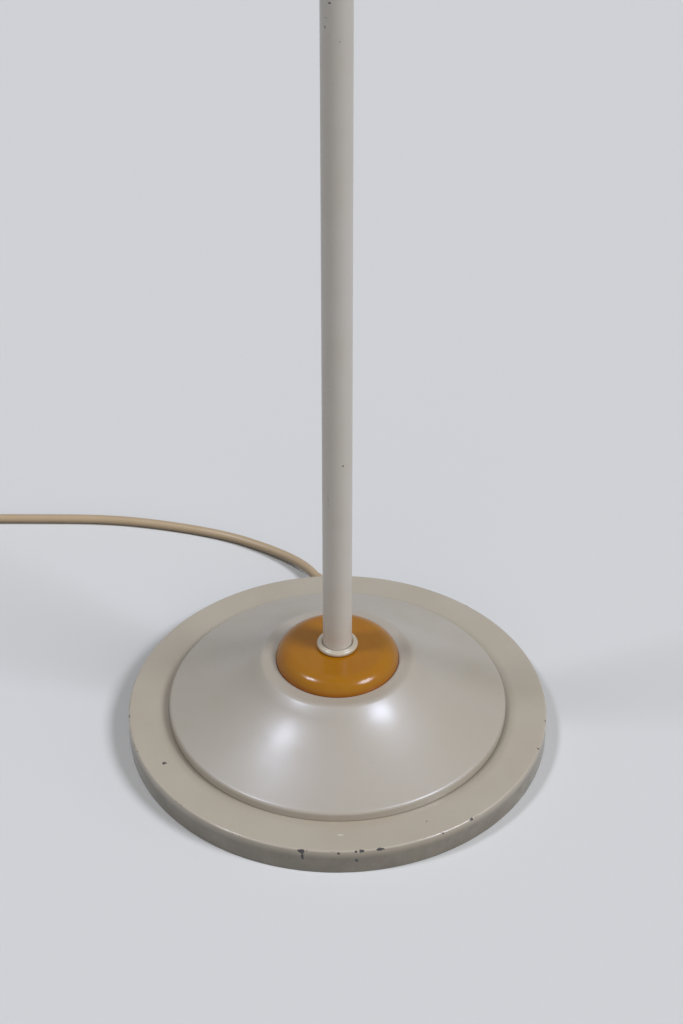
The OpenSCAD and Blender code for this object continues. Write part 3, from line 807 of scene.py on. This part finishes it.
def polished(name: str, node: str, bevel_mm: float = 0.0, sharp_degrees: float = 32.0) -> bpy.types.Object:
    """A smooth-shaded copy of a solid, with its edges eased.

    Args:
        name: the piece's name.
        node: the solid's node.
        bevel_mm: width of the eased edges.
        sharp_degrees: edges that turn more than this are eased, or stay sharp.

    Returns:
        The new piece, in the solid's place.
    """
    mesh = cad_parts[node].data.copy()
    mesh.materials.clear()
    work = bmesh.new()
    work.from_mesh(mesh)
    bmesh.ops.remove_doubles(work, verts=work.verts, dist=2e-6)
    bmesh.ops.dissolve_limit(work, angle_limit=math.radians(0.6), verts=work.verts, edges=work.edges)
    work.to_mesh(mesh)
    work.free()
    piece = finish_mesh(name, mesh, Matrix.Identity(4), sharp_degrees)
    if bevel_mm:
        eased = piece.modifiers.new("eased edges", "BEVEL")
        eased.width = bevel_mm * MM
        eased.segments = 3
        eased.limit_method = "ANGLE"
        eased.angle_limit = math.radians(sharp_degrees)
        eased.harden_normals = True
    return piece


def dress(piece: bpy.types.Object, slot: Slot, body: str, *nodes: str) -> bpy.types.Object:
    """Give a piece its finish, its body and the solids that it stands for.

    Args:
        piece: the piece.
        slot: its finish.
        body: the body that it moves with.
        *nodes: the solids that it replaces.

    Returns:
        The same piece.
    """
    if not piece.data.materials:
        piece.data.materials.append(MATERIALS[slot])
    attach(piece, body)
    if nodes:
        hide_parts(*nodes)
    LOG.info("%s on %s in %s", piece.name, body, slot.value)
    return piece


def dress_solid(node: str, slot: Slot) -> bpy.types.Object:
    """Give a carried-over solid its finish.

    Args:
        node: the solid's node.
        slot: its finish.

    Returns:
        The solid's object.
    """
    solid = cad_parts[node]
    for held in solid.material_slots:
        held.material = MATERIALS[slot]
    LOG.info("%s keeps its solid in %s", node, slot.value)
    return solid


# Studio


@dataclass
class Camera:
    """The camera that took the photograph, fitted to the foot's ellipses and the pole."""

    image_height_px: float = 1024.0
    focal_px: float = 2637.0
    sensor_mm: float = 36.0
    position_mm: Point3 = (2.9, -1430.6, 1274.1)
    pitch_degrees: float = 37.06

    def build(self) -> None:
        """Make the camera and set it as the scene's."""
        data = bpy.data.cameras.new("camera")
        data.sensor_width = self.sensor_mm
        data.lens = self.focal_px / self.image_height_px * self.sensor_mm
        camera = bpy.data.objects.new("camera", data)
        camera.location = [v * MM for v in self.position_mm]
        camera.rotation_euler = (math.radians(90 - self.pitch_degrees), 0.0, 0.0)
        bpy.context.scene.collection.objects.link(camera)
        bpy.context.scene.camera = camera


@dataclass
class Softbox:
    """A large soft light, given by where it stands as seen from the lamp."""

    name: str
    azimuth_degrees: float
    elevation_degrees: float
    spread_degrees: float
    strength: float
    tint: str = "#ffffff"
    mirrored: bool = True
    distance_m: float = 3.0

    def build(self) -> None:
        """Hang the light; one that only fills the shadows isn't mirrored in gloss."""
        data = bpy.data.lights.new(self.name, "SUN")
        data.angle = math.radians(self.spread_degrees)
        data.energy = self.strength
        data.color = linear(self.tint)[:3]
        light = bpy.data.objects.new(self.name, data)
        azimuth, elevation = math.radians(self.azimuth_degrees), math.radians(self.elevation_degrees)
        level = math.cos(elevation)
        towards = Vector((math.sin(azimuth) * level, -math.cos(azimuth) * level, math.sin(elevation)))
        light.rotation_euler = towards.to_track_quat("Z", "Y").to_euler()
        light.location = towards * self.distance_m
        light.visible_glossy = self.mirrored
        bpy.context.scene.collection.objects.link(light)


@dataclass
class Studio:
    """A pale floor and backdrop, two softboxes, and weaker light from overhead, the front and the side."""

    floor_size_m: float = 60.0
    floor_colour: str = "#e6e3dc"
    backdrop_colour: str = "#d0d1d4"
    bounce_colour: str = "#77797c"
    sky_colour: str = "#f4f6fa"
    sky_light: float = 0.11
    softboxes: tuple[Softbox, ...] = (
        Softbox("softbox left", -79.0, 60.0, 11.0, 1.02, "#e8efff"),
        Softbox("softbox right", 65.0, 47.0, 19.0, 1.86, "#e8efff"),
        Softbox("overhead light", 0.0, 85.0, 60.0, 0.15, mirrored=False),
        Softbox("front fill", -5.0, 9.0, 50.0, 0.55, mirrored=False),
        Softbox("side light", 75.0, 12.0, 40.0, 0.40, mirrored=False),
    )

    @staticmethod
    def backdrop_rays(tree: Tree) -> Source:
        """1 for rays that show the background as it is seen, 0 for those that carry its light.

        Args:
            tree: the node tree that needs it.

        Returns:
            The socket.
        """
        rays = add(tree, "LightPath").outputs
        seen = add(tree, "Math", {0: rays["Is Camera Ray"], 1: rays["Is Glossy Ray"]}, operation="MAXIMUM")
        return add(tree, "Math", {0: seen, 1: rays["Is Transmission Ray"]}, operation="MAXIMUM")

    def build(self) -> None:
        """Lay the floor, set the world and hang the lights."""
        half = self.floor_size_m / 2
        mesh = bpy.data.meshes.new("floor")
        corners = [(-half, -half, 0), (half, -half, 0), (half, half, 0), (-half, half, 0)]
        mesh.from_pydata(corners, [], [(0, 1, 2, 3)])
        floor = bpy.data.objects.new("floor", mesh)
        bpy.context.scene.collection.objects.link(floor)
        made = bpy.data.materials.new("Painted floor, matt")
        made.use_nodes = True
        tree = made.node_tree
        fill(tree, tree.nodes["Principled BSDF"], {
            "Base Color": layered(tree, self.bounce_colour, [(self.backdrop_rays(tree), self.floor_colour)]),
            "Roughness": 0.9, "Specular IOR Level": 0.2,
        })
        mesh.materials.append(made)

        world = bpy.data.worlds.new("studio")
        bpy.context.scene.world = world
        world.use_nodes = True
        tree = world.node_tree
        tree.nodes.clear()
        seen = add(tree, "Background", {0: linear(self.backdrop_colour), 1: 1.0})
        light = add(tree, "Background", {0: linear(self.sky_colour), 1: self.sky_light})
        both = add(tree, "MixShader", {0: self.backdrop_rays(tree), 1: light, 2: seen})
        add(tree, "OutputWorld", {0: both})
        for box in self.softboxes:
            box.build()
        bpy.context.scene.view_settings.view_transform = "Standard"


# The lamp's sub-assemblies


@dataclass
class MainsCord:
    """The mains cord from the rim to its plug, most of it in a tied coil on the floor."""

    diameter_mm: float = 7.0
    outer_turn_mm: float = 51.3
    pitch_mm: float = 7.5
    rise_mm: float = 7.5
    layer_turns: float = 3.125
    climb_turns: float = 0.5
    steps_per_turn: int = 48
    coil_centre_mm: Point = (-335.0, 192.0)
    coil_height_mm: float = 4.2
    lead: tuple[Point3, ...] = (
        (-16, 162, 8), (-20, 169, 7.9), (-25, 176.2, 7.4), (-31, 183, 6.8), (-38, 189.6, 6.2),
        (-46, 196, 5.5), (-55, 202.4, 4.9), (-65, 208.6, 4.4), (-77, 215.2, 4), (-91, 221.2, 3.7),
        (-108, 227, 3.55), (-130, 232.8, 3.55), (-155, 238, 3.55), (-180, 241.4, 3.55),
        (-205, 242.8, 3.55), (-237, 243.2, 3.55), (-269, 243.3, 3.55), (-300, 243.3, 3.8),
        (-320, 243.3, 4.2), (-328, 243.3, 4.2),
    )
    tail: tuple[Point3, ...] = (
        (-386.3, 185, 11.7), (-386.3, 178, 11.4), (-386.6, 168, 10.2), (-387.1, 156, 8),
        (-387.6, 143, 5.6), (-388, 130, 4), (-388, 116, 3.55), (-388, 102, 3.65),
        (-388, 90, 4.6), (-388, 80, 6.1), (-388, 72, 7), (-388, 65, 7),
    )

    def turns(self) -> list[Vector]:
        """The coil's points: in on the lower layer and out again on the upper one.

        Returns:
            The points in mm.
        """
        made = []
        inner = self.outer_turn_mm - self.pitch_mm * self.layer_turns
        for i in range(round(2 * self.layer_turns * self.steps_per_turn) + 1):
            turn = i / self.steps_per_turn
            radius = inner + self.pitch_mm * abs(turn - self.layer_turns)
            climbed = (turn - self.layer_turns + self.climb_turns / 2) / self.climb_turns
            climb = min(max(climbed, 0.0), 1.0)
            height = self.coil_height_mm + self.rise_mm * climb * climb * (3 - 2 * climb)
            angle = math.radians(90 + 360 * turn)
            made.append(Vector((
                self.coil_centre_mm[0] + radius * math.cos(angle),
                self.coil_centre_mm[1] + radius * math.sin(angle), height)))
        return made

    @staticmethod
    def eased(route: Sequence[Point3], steps: int = 6) -> list[Vector]:
        """A smooth line through a route's points.

        Args:
            route: the points.
            steps: number of stretches between two of them.

        Returns:
            The points of the smooth line.
        """
        p = [Vector(point) for point in route]
        p = [2 * p[0] - p[1], *p, 2 * p[-1] - p[-2]]
        made = []
        for a, b, c, d in zip(p, p[1:], p[2:], p[3:]):
            for k in range(steps):
                t = k / steps
                made.append(0.5 * (2 * b + (c - a) * t + (2 * a - 5 * b + 4 * c - d) * t * t
                                   + (3 * b - a - 3 * c + d) * t * t * t))
        return [*made, p[-2]]

    def build(self) -> bpy.types.Object:
        """Lay the cord and dress what is on it.

        Returns:
            The cord.
        """
        line = [v * MM for v in (*self.eased(self.lead), *self.turns(), *self.eased(self.tail))]
        data = bpy.data.curves.new("mains_lead", "CURVE")
        data.dimensions = "3D"
        data.bevel_depth = self.diameter_mm / 2 * MM
        data.bevel_resolution = 6
        data.use_fill_caps = True
        spline = data.splines.new("POLY")
        spline.points.add(len(line) - 1)
        for point, place in zip(spline.points, line):
            point.co = (*place, 1.0)
        spline.use_smooth = True
        cord = bpy.data.objects.new("mains_lead", data)
        bpy.context.scene.collection.objects.link(cord)
        dress(cord, Slot.CORD, Body.STAND.of(), "mains_cord", "cord_coil")

        relief = dress(polished("strain_relief", "cord_bushing"), Slot.CORD, Body.STAND.of(), "cord_bushing")
        tie = dress(polished("coil_tie", "cord_tie", 0.2), Slot.TIE, Body.STAND.of(), "cord_tie")
        plug = dress(polished("plug", "plug_body", 0.8), Slot.PLUG, Body.STAND.of(), "plug_body")
        pins = dress(polished("pins", "plug_pins"), Slot.BRASS, Body.STAND.of(), "plug_pins")
        return cord


@dataclass
class Foot:
    """The weighted disc, the spun cover on it, the orange ring in its neck and the collar."""

    radius: float = 150.0
    top: float = 20.0
    felt: float = 1.5
    recess_radius: float = 118.0
    recess_top: float = 13.0
    cover_radius: float = 120.7
    cover_top: float = 65.2
    cover_sheet: float = 1.2
    dish_radius: float = 43.7
    dish_depth: float = 4.7
    ring_radius: float = 43.5
    ring_top: float = 76.0
    collar_radius: float = 14.5
    pole_radius: float = 10.25
    stem_hole: float = 6.75
    steps: int = 288

    def disc(self) -> bpy.types.Object:
        """The cast disc, hollow underneath, with a low lip round the felt pad.

        Returns:
            The disc.
        """
        edge, foot_edge, low, lip, hold = 1.6, 0.6, 0.2, 2.7, 12.0
        outline = [
            (self.stem_hole, self.recess_top), (self.recess_radius, self.recess_top),
            (self.recess_radius, self.felt), (self.radius - lip, self.felt), (self.radius - lip, low),
            *arc((self.radius - foot_edge, low + foot_edge), foot_edge, -90, 0, 6),
            *arc((self.radius - edge, self.top - edge), edge, 0, 90, 10),
            (self.radius - hold, self.top), (self.stem_hole, self.top),
        ]
        return turned("weighted_disc", outline, self.steps)

    def slopes(self) -> list[Point]:
        """The cover's outer face, from its tucked lower edge up to the shelf.

        Returns:
            The outline's points.
        """
        edge, crown, skirt, tuck = 3.0, 66.0, self.top + 4.7, 0.4
        lower_bend = arc((self.cover_radius - edge, skirt), edge, 0, crown, 10)
        start = lower_bend[-1]
        # The shelf ends in a tight bend, and the slope below it goes on steepening before it flares out
        bend_radius, bend, shoulder_radius, steepest = 5.0, 35.0, 76.0, 41.0
        bend_centre = (52.3, self.cover_top - bend_radius)
        further = shoulder_radius - bend_radius
        shoulder_centre = (bend_centre[0] - further * math.sin(math.radians(bend)),
                           bend_centre[1] - further * math.cos(math.radians(bend)))
        shoulder = arc(shoulder_centre, shoulder_radius, 90 - steepest, 90 - bend, 8)
        neck, down = shoulder[0], (math.cos(math.radians(steepest)), -math.sin(math.radians(steepest)))
        flare, lean = (18.0, 7.8), 17.0
        foot_handle = (start[0] - flare[0], start[1] + flare[1])
        neck_handle = (neck[0] + lean * down[0], neck[1] + lean * down[1])
        return [
            (self.cover_radius - tuck, self.top), (self.cover_radius, self.top + tuck), *lower_bend,
            *curve([start, foot_handle, neck_handle, neck], 40)[1:],
            *shoulder[1:],
            *arc(bend_centre, bend_radius, 90 - bend, 90, 12)[1:],
        ]

    def cover(self) -> bpy.types.Object:
        """The spun cover: a low cone, a rolled neck and the dish that the orange ring sits in.

        Returns:
            The cover.
        """
        dip, ease, floor = 0.45, 0.3, self.cover_top - self.dish_depth
        low = self.cover_top - dip
        slopes = self.slopes()
        shelf = curve([slopes[-1], (50.2, self.cover_top), (49.0, low), (45.5, low)], 12)[1:]
        eased = arc((self.dish_radius + ease, low - ease), ease, 90, 180, 5)[1:]
        dish = [(self.dish_radius, floor), (self.pole_radius + 0.4, floor)]
        inside = inner_face([*slopes, *shelf, (self.dish_radius, low), *dish], self.cover_sheet)
        outline = [*slopes, *shelf, (self.dish_radius + ease, low), *eased, *dish, *reversed(inside)]
        return turned("spun_cover", outline, self.steps)

    def orange_ring(self) -> bpy.types.Object:
        """The moulded ring, flat on top and full at its side.

        Returns:
            The ring.
        """
        bottom, bulge, bore, shoulder = self.cover_top - self.dish_depth, 64.9, 12.05, 12.5
        foot, flat, full = 37.0, 22.0, (self.ring_radius, bulge)
        outline = [
            (bore, bottom),
            *curve([(foot, bottom), (foot + 4, bottom + 0.3), (full[0], bulge - 2.4), full], 10),
            *quarter((self.ring_radius - shoulder, bulge), shoulder, self.ring_top - 0.5 - bulge, 28)[1:],
            (flat, self.ring_top - 0.1), (bore, self.ring_top),
        ]
        return turned("orange_ring", outline, self.steps)

    def collar(self) -> bpy.types.Object:
        """The collar: a sleeve in the ring's hole under a rolled bead.

        Returns:
            The collar.
        """
        bead, bead_height, inner, sleeve = 1.85, 1.9, self.pole_radius + 0.3, 12.0
        room, top = 1.1, self.ring_top
        low = self.cover_top - self.dish_depth + room
        outline = [
            (inner, low), (sleeve, low), (sleeve, top), (self.collar_radius - 1, top),
            *arc((self.collar_radius - bead, top + bead_height), bead, -50, 90, 16),
            *curve([(self.collar_radius - bead, top + 3.75), (12.2, top + 4.5), (inner + 0.4, top + 4.4),
                    (inner, top + 3.2)], 10)[1:],
        ]
        return turned("collar", outline, 128)

    def build(self) -> None:
        """Make and dress the foot."""
        stand = Body.STAND.of()
        dress(self.disc(), Slot.CREAM, stand, "base_weight")
        dress(self.cover(), Slot.PEARL, stand, "dome_cover")
        dress(self.orange_ring(), Slot.ENAMEL, stand, "accent_ring")
        dress(self.collar(), Slot.CREAM_GLOSS, stand, "collar_ring")
        pad, ease = self.radius - 3, 0.3
        outline = [(0, 0), (pad - ease, 0), (pad, ease), (pad, self.felt), (0, self.felt)]
        dress(turned("felt_pad", outline, 180, closed=False), Slot.FELT, stand, "base_felt")
        for node in ("threaded_stem", "stem_washers", "pole_foot", "clamp_screws"):
            dress_solid(node, Slot.ZINC)
        dress_solid("stem_nut", Slot.BRASS)
        dress_solid("cord_clamp", Slot.PHENOLIC)
        dress_solid("inner_lead", Slot.CORD)


@dataclass
class Pole:
    """The two tubes, the piece that joins them, and the rings that carry the heads."""

    radius: float = 10.25
    wall: float = 1.5
    low: float = 20.0
    split: float = 800.0
    top: float = 1470.0
    steps: int = 96

    def tube(self, name: str, low: float, high: float) -> bpy.types.Object:
        """One tube with eased ends.

        Args:
            name: the piece's name.
            low: height of its lower end in mm.
            high: height of its upper end in mm.

        Returns:
            The tube.
        """
        outline = tube_outline(self.radius - self.wall, self.radius, low, high, 0.35)
        return turned(name, outline, self.steps, sharp_degrees=60)

    def build(self) -> None:
        """Make and dress the pole."""
        stand = Body.STAND.of()
        dress(self.tube("lower_tube", self.low, self.split), Slot.POLE, stand, "pole_lower")
        dress(self.tube("upper_tube", self.split, self.top), Slot.POLE, stand, "pole_upper")
        dress(polished("head_rests", "stop_rings", 0.0, 25), Slot.CREAM_GLOSS, stand, "stop_rings")
        dress_solid("pole_joint", Slot.ZINC)
        dress_solid("stop_screws", Slot.ZINC)
        dress_solid("glide_washers", Slot.NYLON)


@dataclass
class SwitchTop:
    """The switch on the pole's top: a turned housing and an orange knob."""

    top: float = 1470.0
    steps: int = 128

    def housing(self) -> bpy.types.Object:
        """The housing, which widens from its sleeve to the switch.

        Returns:
            The housing.
        """
        low, high = self.top - 18, self.top + 27
        bore, chamber, hole, lid = 10.3, 13.8, 5.05, 3
        sleeve, ease, full, widens = 13.8, 1.4, 17, (11, 14, 18)
        outline = [
            (bore, low),
            *arc((sleeve - ease, low + ease), ease, -90, 0, 8),
            *curve([(sleeve, low + widens[0]), (sleeve, low + widens[1]),
                    (full, low + widens[1]), (full, low + widens[2])], 12),
            *arc((full - lid, high - lid), lid, 0, 90, 10),
            (hole, high), (hole, high - lid), (chamber, high - lid), (chamber, self.top), (bore, self.top),
        ]
        return turned("switch_cap", outline, self.steps)

    def build(self) -> None:
        """Make and dress the switch."""
        dress(self.housing(), Slot.CREAM_GLOSS, Body.STAND.of(), "switch_housing")
        dress(polished("knob", "switch_knob", 0.0, 30), Slot.KNOB, Body.DIAL.of(), "switch_knob")
        dress_solid("switch_body", Slot.PHENOLIC)
        dress_solid("switch_nut", Slot.ZINC)
        dress_solid("switch_shaft", Slot.BRASS)


@dataclass
class Head:
    """One head: a hub and arm that swing round the pole, and a cone shade that tilts on the arm."""

    number: int
    first_height: float = 1080.0
    step: float = 175.0
    reach: float = 84.0
    dish: float = -31.5
    mouth: float = -155.0
    mouth_radius: float = 60.0
    sheet: float = 1.0
    fork_low: float = -22.0
    bulb_radius: float = 22.5
    bulb_centre: float = -98.0
    arm_bore: float = 3.8
    arm_radius: float = 5.0
    arm_start: float = 12.0
    eye_room: float = 18.0
    steps: int = 160
    place: Matrix = field(init=False)

    def __post_init__(self) -> None:
        """Work out the frame at the tilt axis."""
        height = (self.first_height + self.step * (self.number - 1)) * MM
        turn = Matrix.Rotation(math.radians(90 + 120 * self.number), 4, "Z")
        self.place = turn @ Matrix.Translation((self.reach * MM, 0, height))

    def shade(self) -> bpy.types.Object:
        """The spun shade with its rolled mouth, lined in white.

        Returns:
            The shade; its lining is its second material.
        """
        neck, crest = (27.0, -38.0), (22.8, self.dish + 2.4)
        flare, lean = (8, 30), (5, 32)
        bead, rim = 1.4, self.mouth_radius - self.sheet / 2
        face = [
            *curve([(self.mouth_radius, self.mouth), (self.mouth_radius - flare[0], self.mouth + flare[1]),
                    (neck[0] + lean[0], neck[1] - lean[1]), neck], 40),
            *curve([neck, (neck[0] - 0.7, neck[1] + 4), (crest[0] + 2.6, crest[1]), crest], 16)[1:],
            *curve([crest, (crest[0] - 1.6, crest[1]), (19.8, self.dish + 0.4), (18.9, self.dish)], 8)[1:],
            (5.1, self.dish),
        ]
        lining = inner_face(face, self.sheet)
        bead_points = arc((rim, self.mouth), bead, 140, 400, 20)
        face, lining = face[1:], lining[1:]
        outline = [*bead_points, *face, *reversed(lining)]
        shade = turned(f"cone_shade_{self.number}", outline, self.steps, self.place)
        shade.data.materials.append(MATERIALS[Slot.SHADE])
        shade.data.materials.append(LINING)
        lined_from = (len(bead_points) + len(face)) * self.steps
        for face_index, polygon in enumerate(shade.data.polygons):
            polygon.material_index = 1 if face_index >= lined_from else 0
        return shade

    def ring(self) -> bpy.types.Object:
        """The orange ring on the shade's neck.

        Returns:
            The ring.
        """
        bore, seat, full, crest, waist = 5.05, 16.0, 18.2, 11.0, self.dish + 2.8
        outline = [
            (bore, self.dish),
            *curve([(seat, self.dish), (17.6, self.dish + 0.1), (full, self.dish + 1.6), (full, waist)], 8),
            *quarter((crest, waist), full - crest, self.fork_low - waist, 16)[1:],
            (bore, self.fork_low),
        ]
        return turned(f"neck_ring_{self.number}", outline, 96, self.place)

    def globe(self) -> bpy.types.Object:
        """The bulb with its cap.

        Returns:
            The bulb.
        """
        r, c, neck_turn = self.bulb_radius, self.bulb_centre, math.radians(35)
        top, bottom, cap_radius, ease, pull = -57.0, -76.3, 7.0, 3.0, 6.0
        side = (r * math.cos(neck_turn), c + r * math.sin(neck_turn))
        handle = (side[0] - pull * math.sin(neck_turn), side[1] + pull * math.cos(neck_turn))
        outline = [
            (0, top), (cap_radius - ease, top), (cap_radius, top - ease), (cap_radius, bottom),
            *curve([(8.4, -77.8), (9.4, -79.8), handle, side], 12),
            *arc((0, c), r, 33, -90, 36)[:-1], (0, c - r),
        ]
        return turned(f"globe_bulb_{self.number}", outline, 96, self.place, closed=False)

    def tube(self) -> bpy.types.Object:
        """The arm's tube.

        Returns:
            The tube.
        """
        end = self.reach - self.eye_room
        outline = tube_outline(self.arm_bore, self.arm_radius, self.arm_start, end, 0.2)
        along = Matrix.Translation((-self.reach * MM, 0, 0)) @ Matrix.Rotation(math.pi / 2, 4, "Y")
        return turned(f"arm_tube_{self.number}", outline, 64, self.place @ along, sharp_degrees=60)

    def build(self) -> None:
        """Make and dress the head."""
        n, swing, tilt = self.number, Body.SWING.of(self.number), Body.TILT.of(self.number)
        dress(polished(f"pole_hub_{n}", f"hub_{n}", 0.0, 25), Slot.CREAM_GLOSS, swing, f"hub_{n}")
        dress(self.tube(), Slot.POLE, swing, f"arm_{n}")
        dress(polished(f"knuckle_eye_{n}", f"arm_eye_{n}", 0.4), Slot.KNUCKLE, swing, f"arm_eye_{n}")
        dress(polished(f"knuckle_fork_{n}", f"fork_{n}", 0.4), Slot.KNUCKLE, tilt, f"fork_{n}")
        dress(polished(f"pivot_{n}", f"pivot_screw_{n}", 0.0), Slot.ZINC, tilt, f"pivot_screw_{n}")
        dress(polished(f"grip_{n}", f"tilt_knob_{n}", 0.0, 30), Slot.KNOB, tilt, f"tilt_knob_{n}")
        dress(self.shade(), Slot.SHADE, tilt, f"shade_{n}")
        dress(self.ring(), Slot.ENAMEL, tilt, f"shade_ring_{n}")
        dress(self.globe(), Slot.GLOBE, tilt, f"bulb_{n}")
        dress(polished(f"socket_{n}", f"lampholder_{n}", 0.0, 30), Slot.PHENOLIC, tilt, f"lampholder_{n}")


def main() -> None:
    """Build the studio and the lamp."""
    logging.basicConfig(level=logging.INFO, format="%(name)s: %(message)s")
    Camera().build()
    MainsCord().build()
    Studio().build()
    Foot().build()
    Pole().build()
    SwitchTop().build()
    for number in (1, 2, 3):
        Head(number).build()


if __name__ == "__main__":
    main()
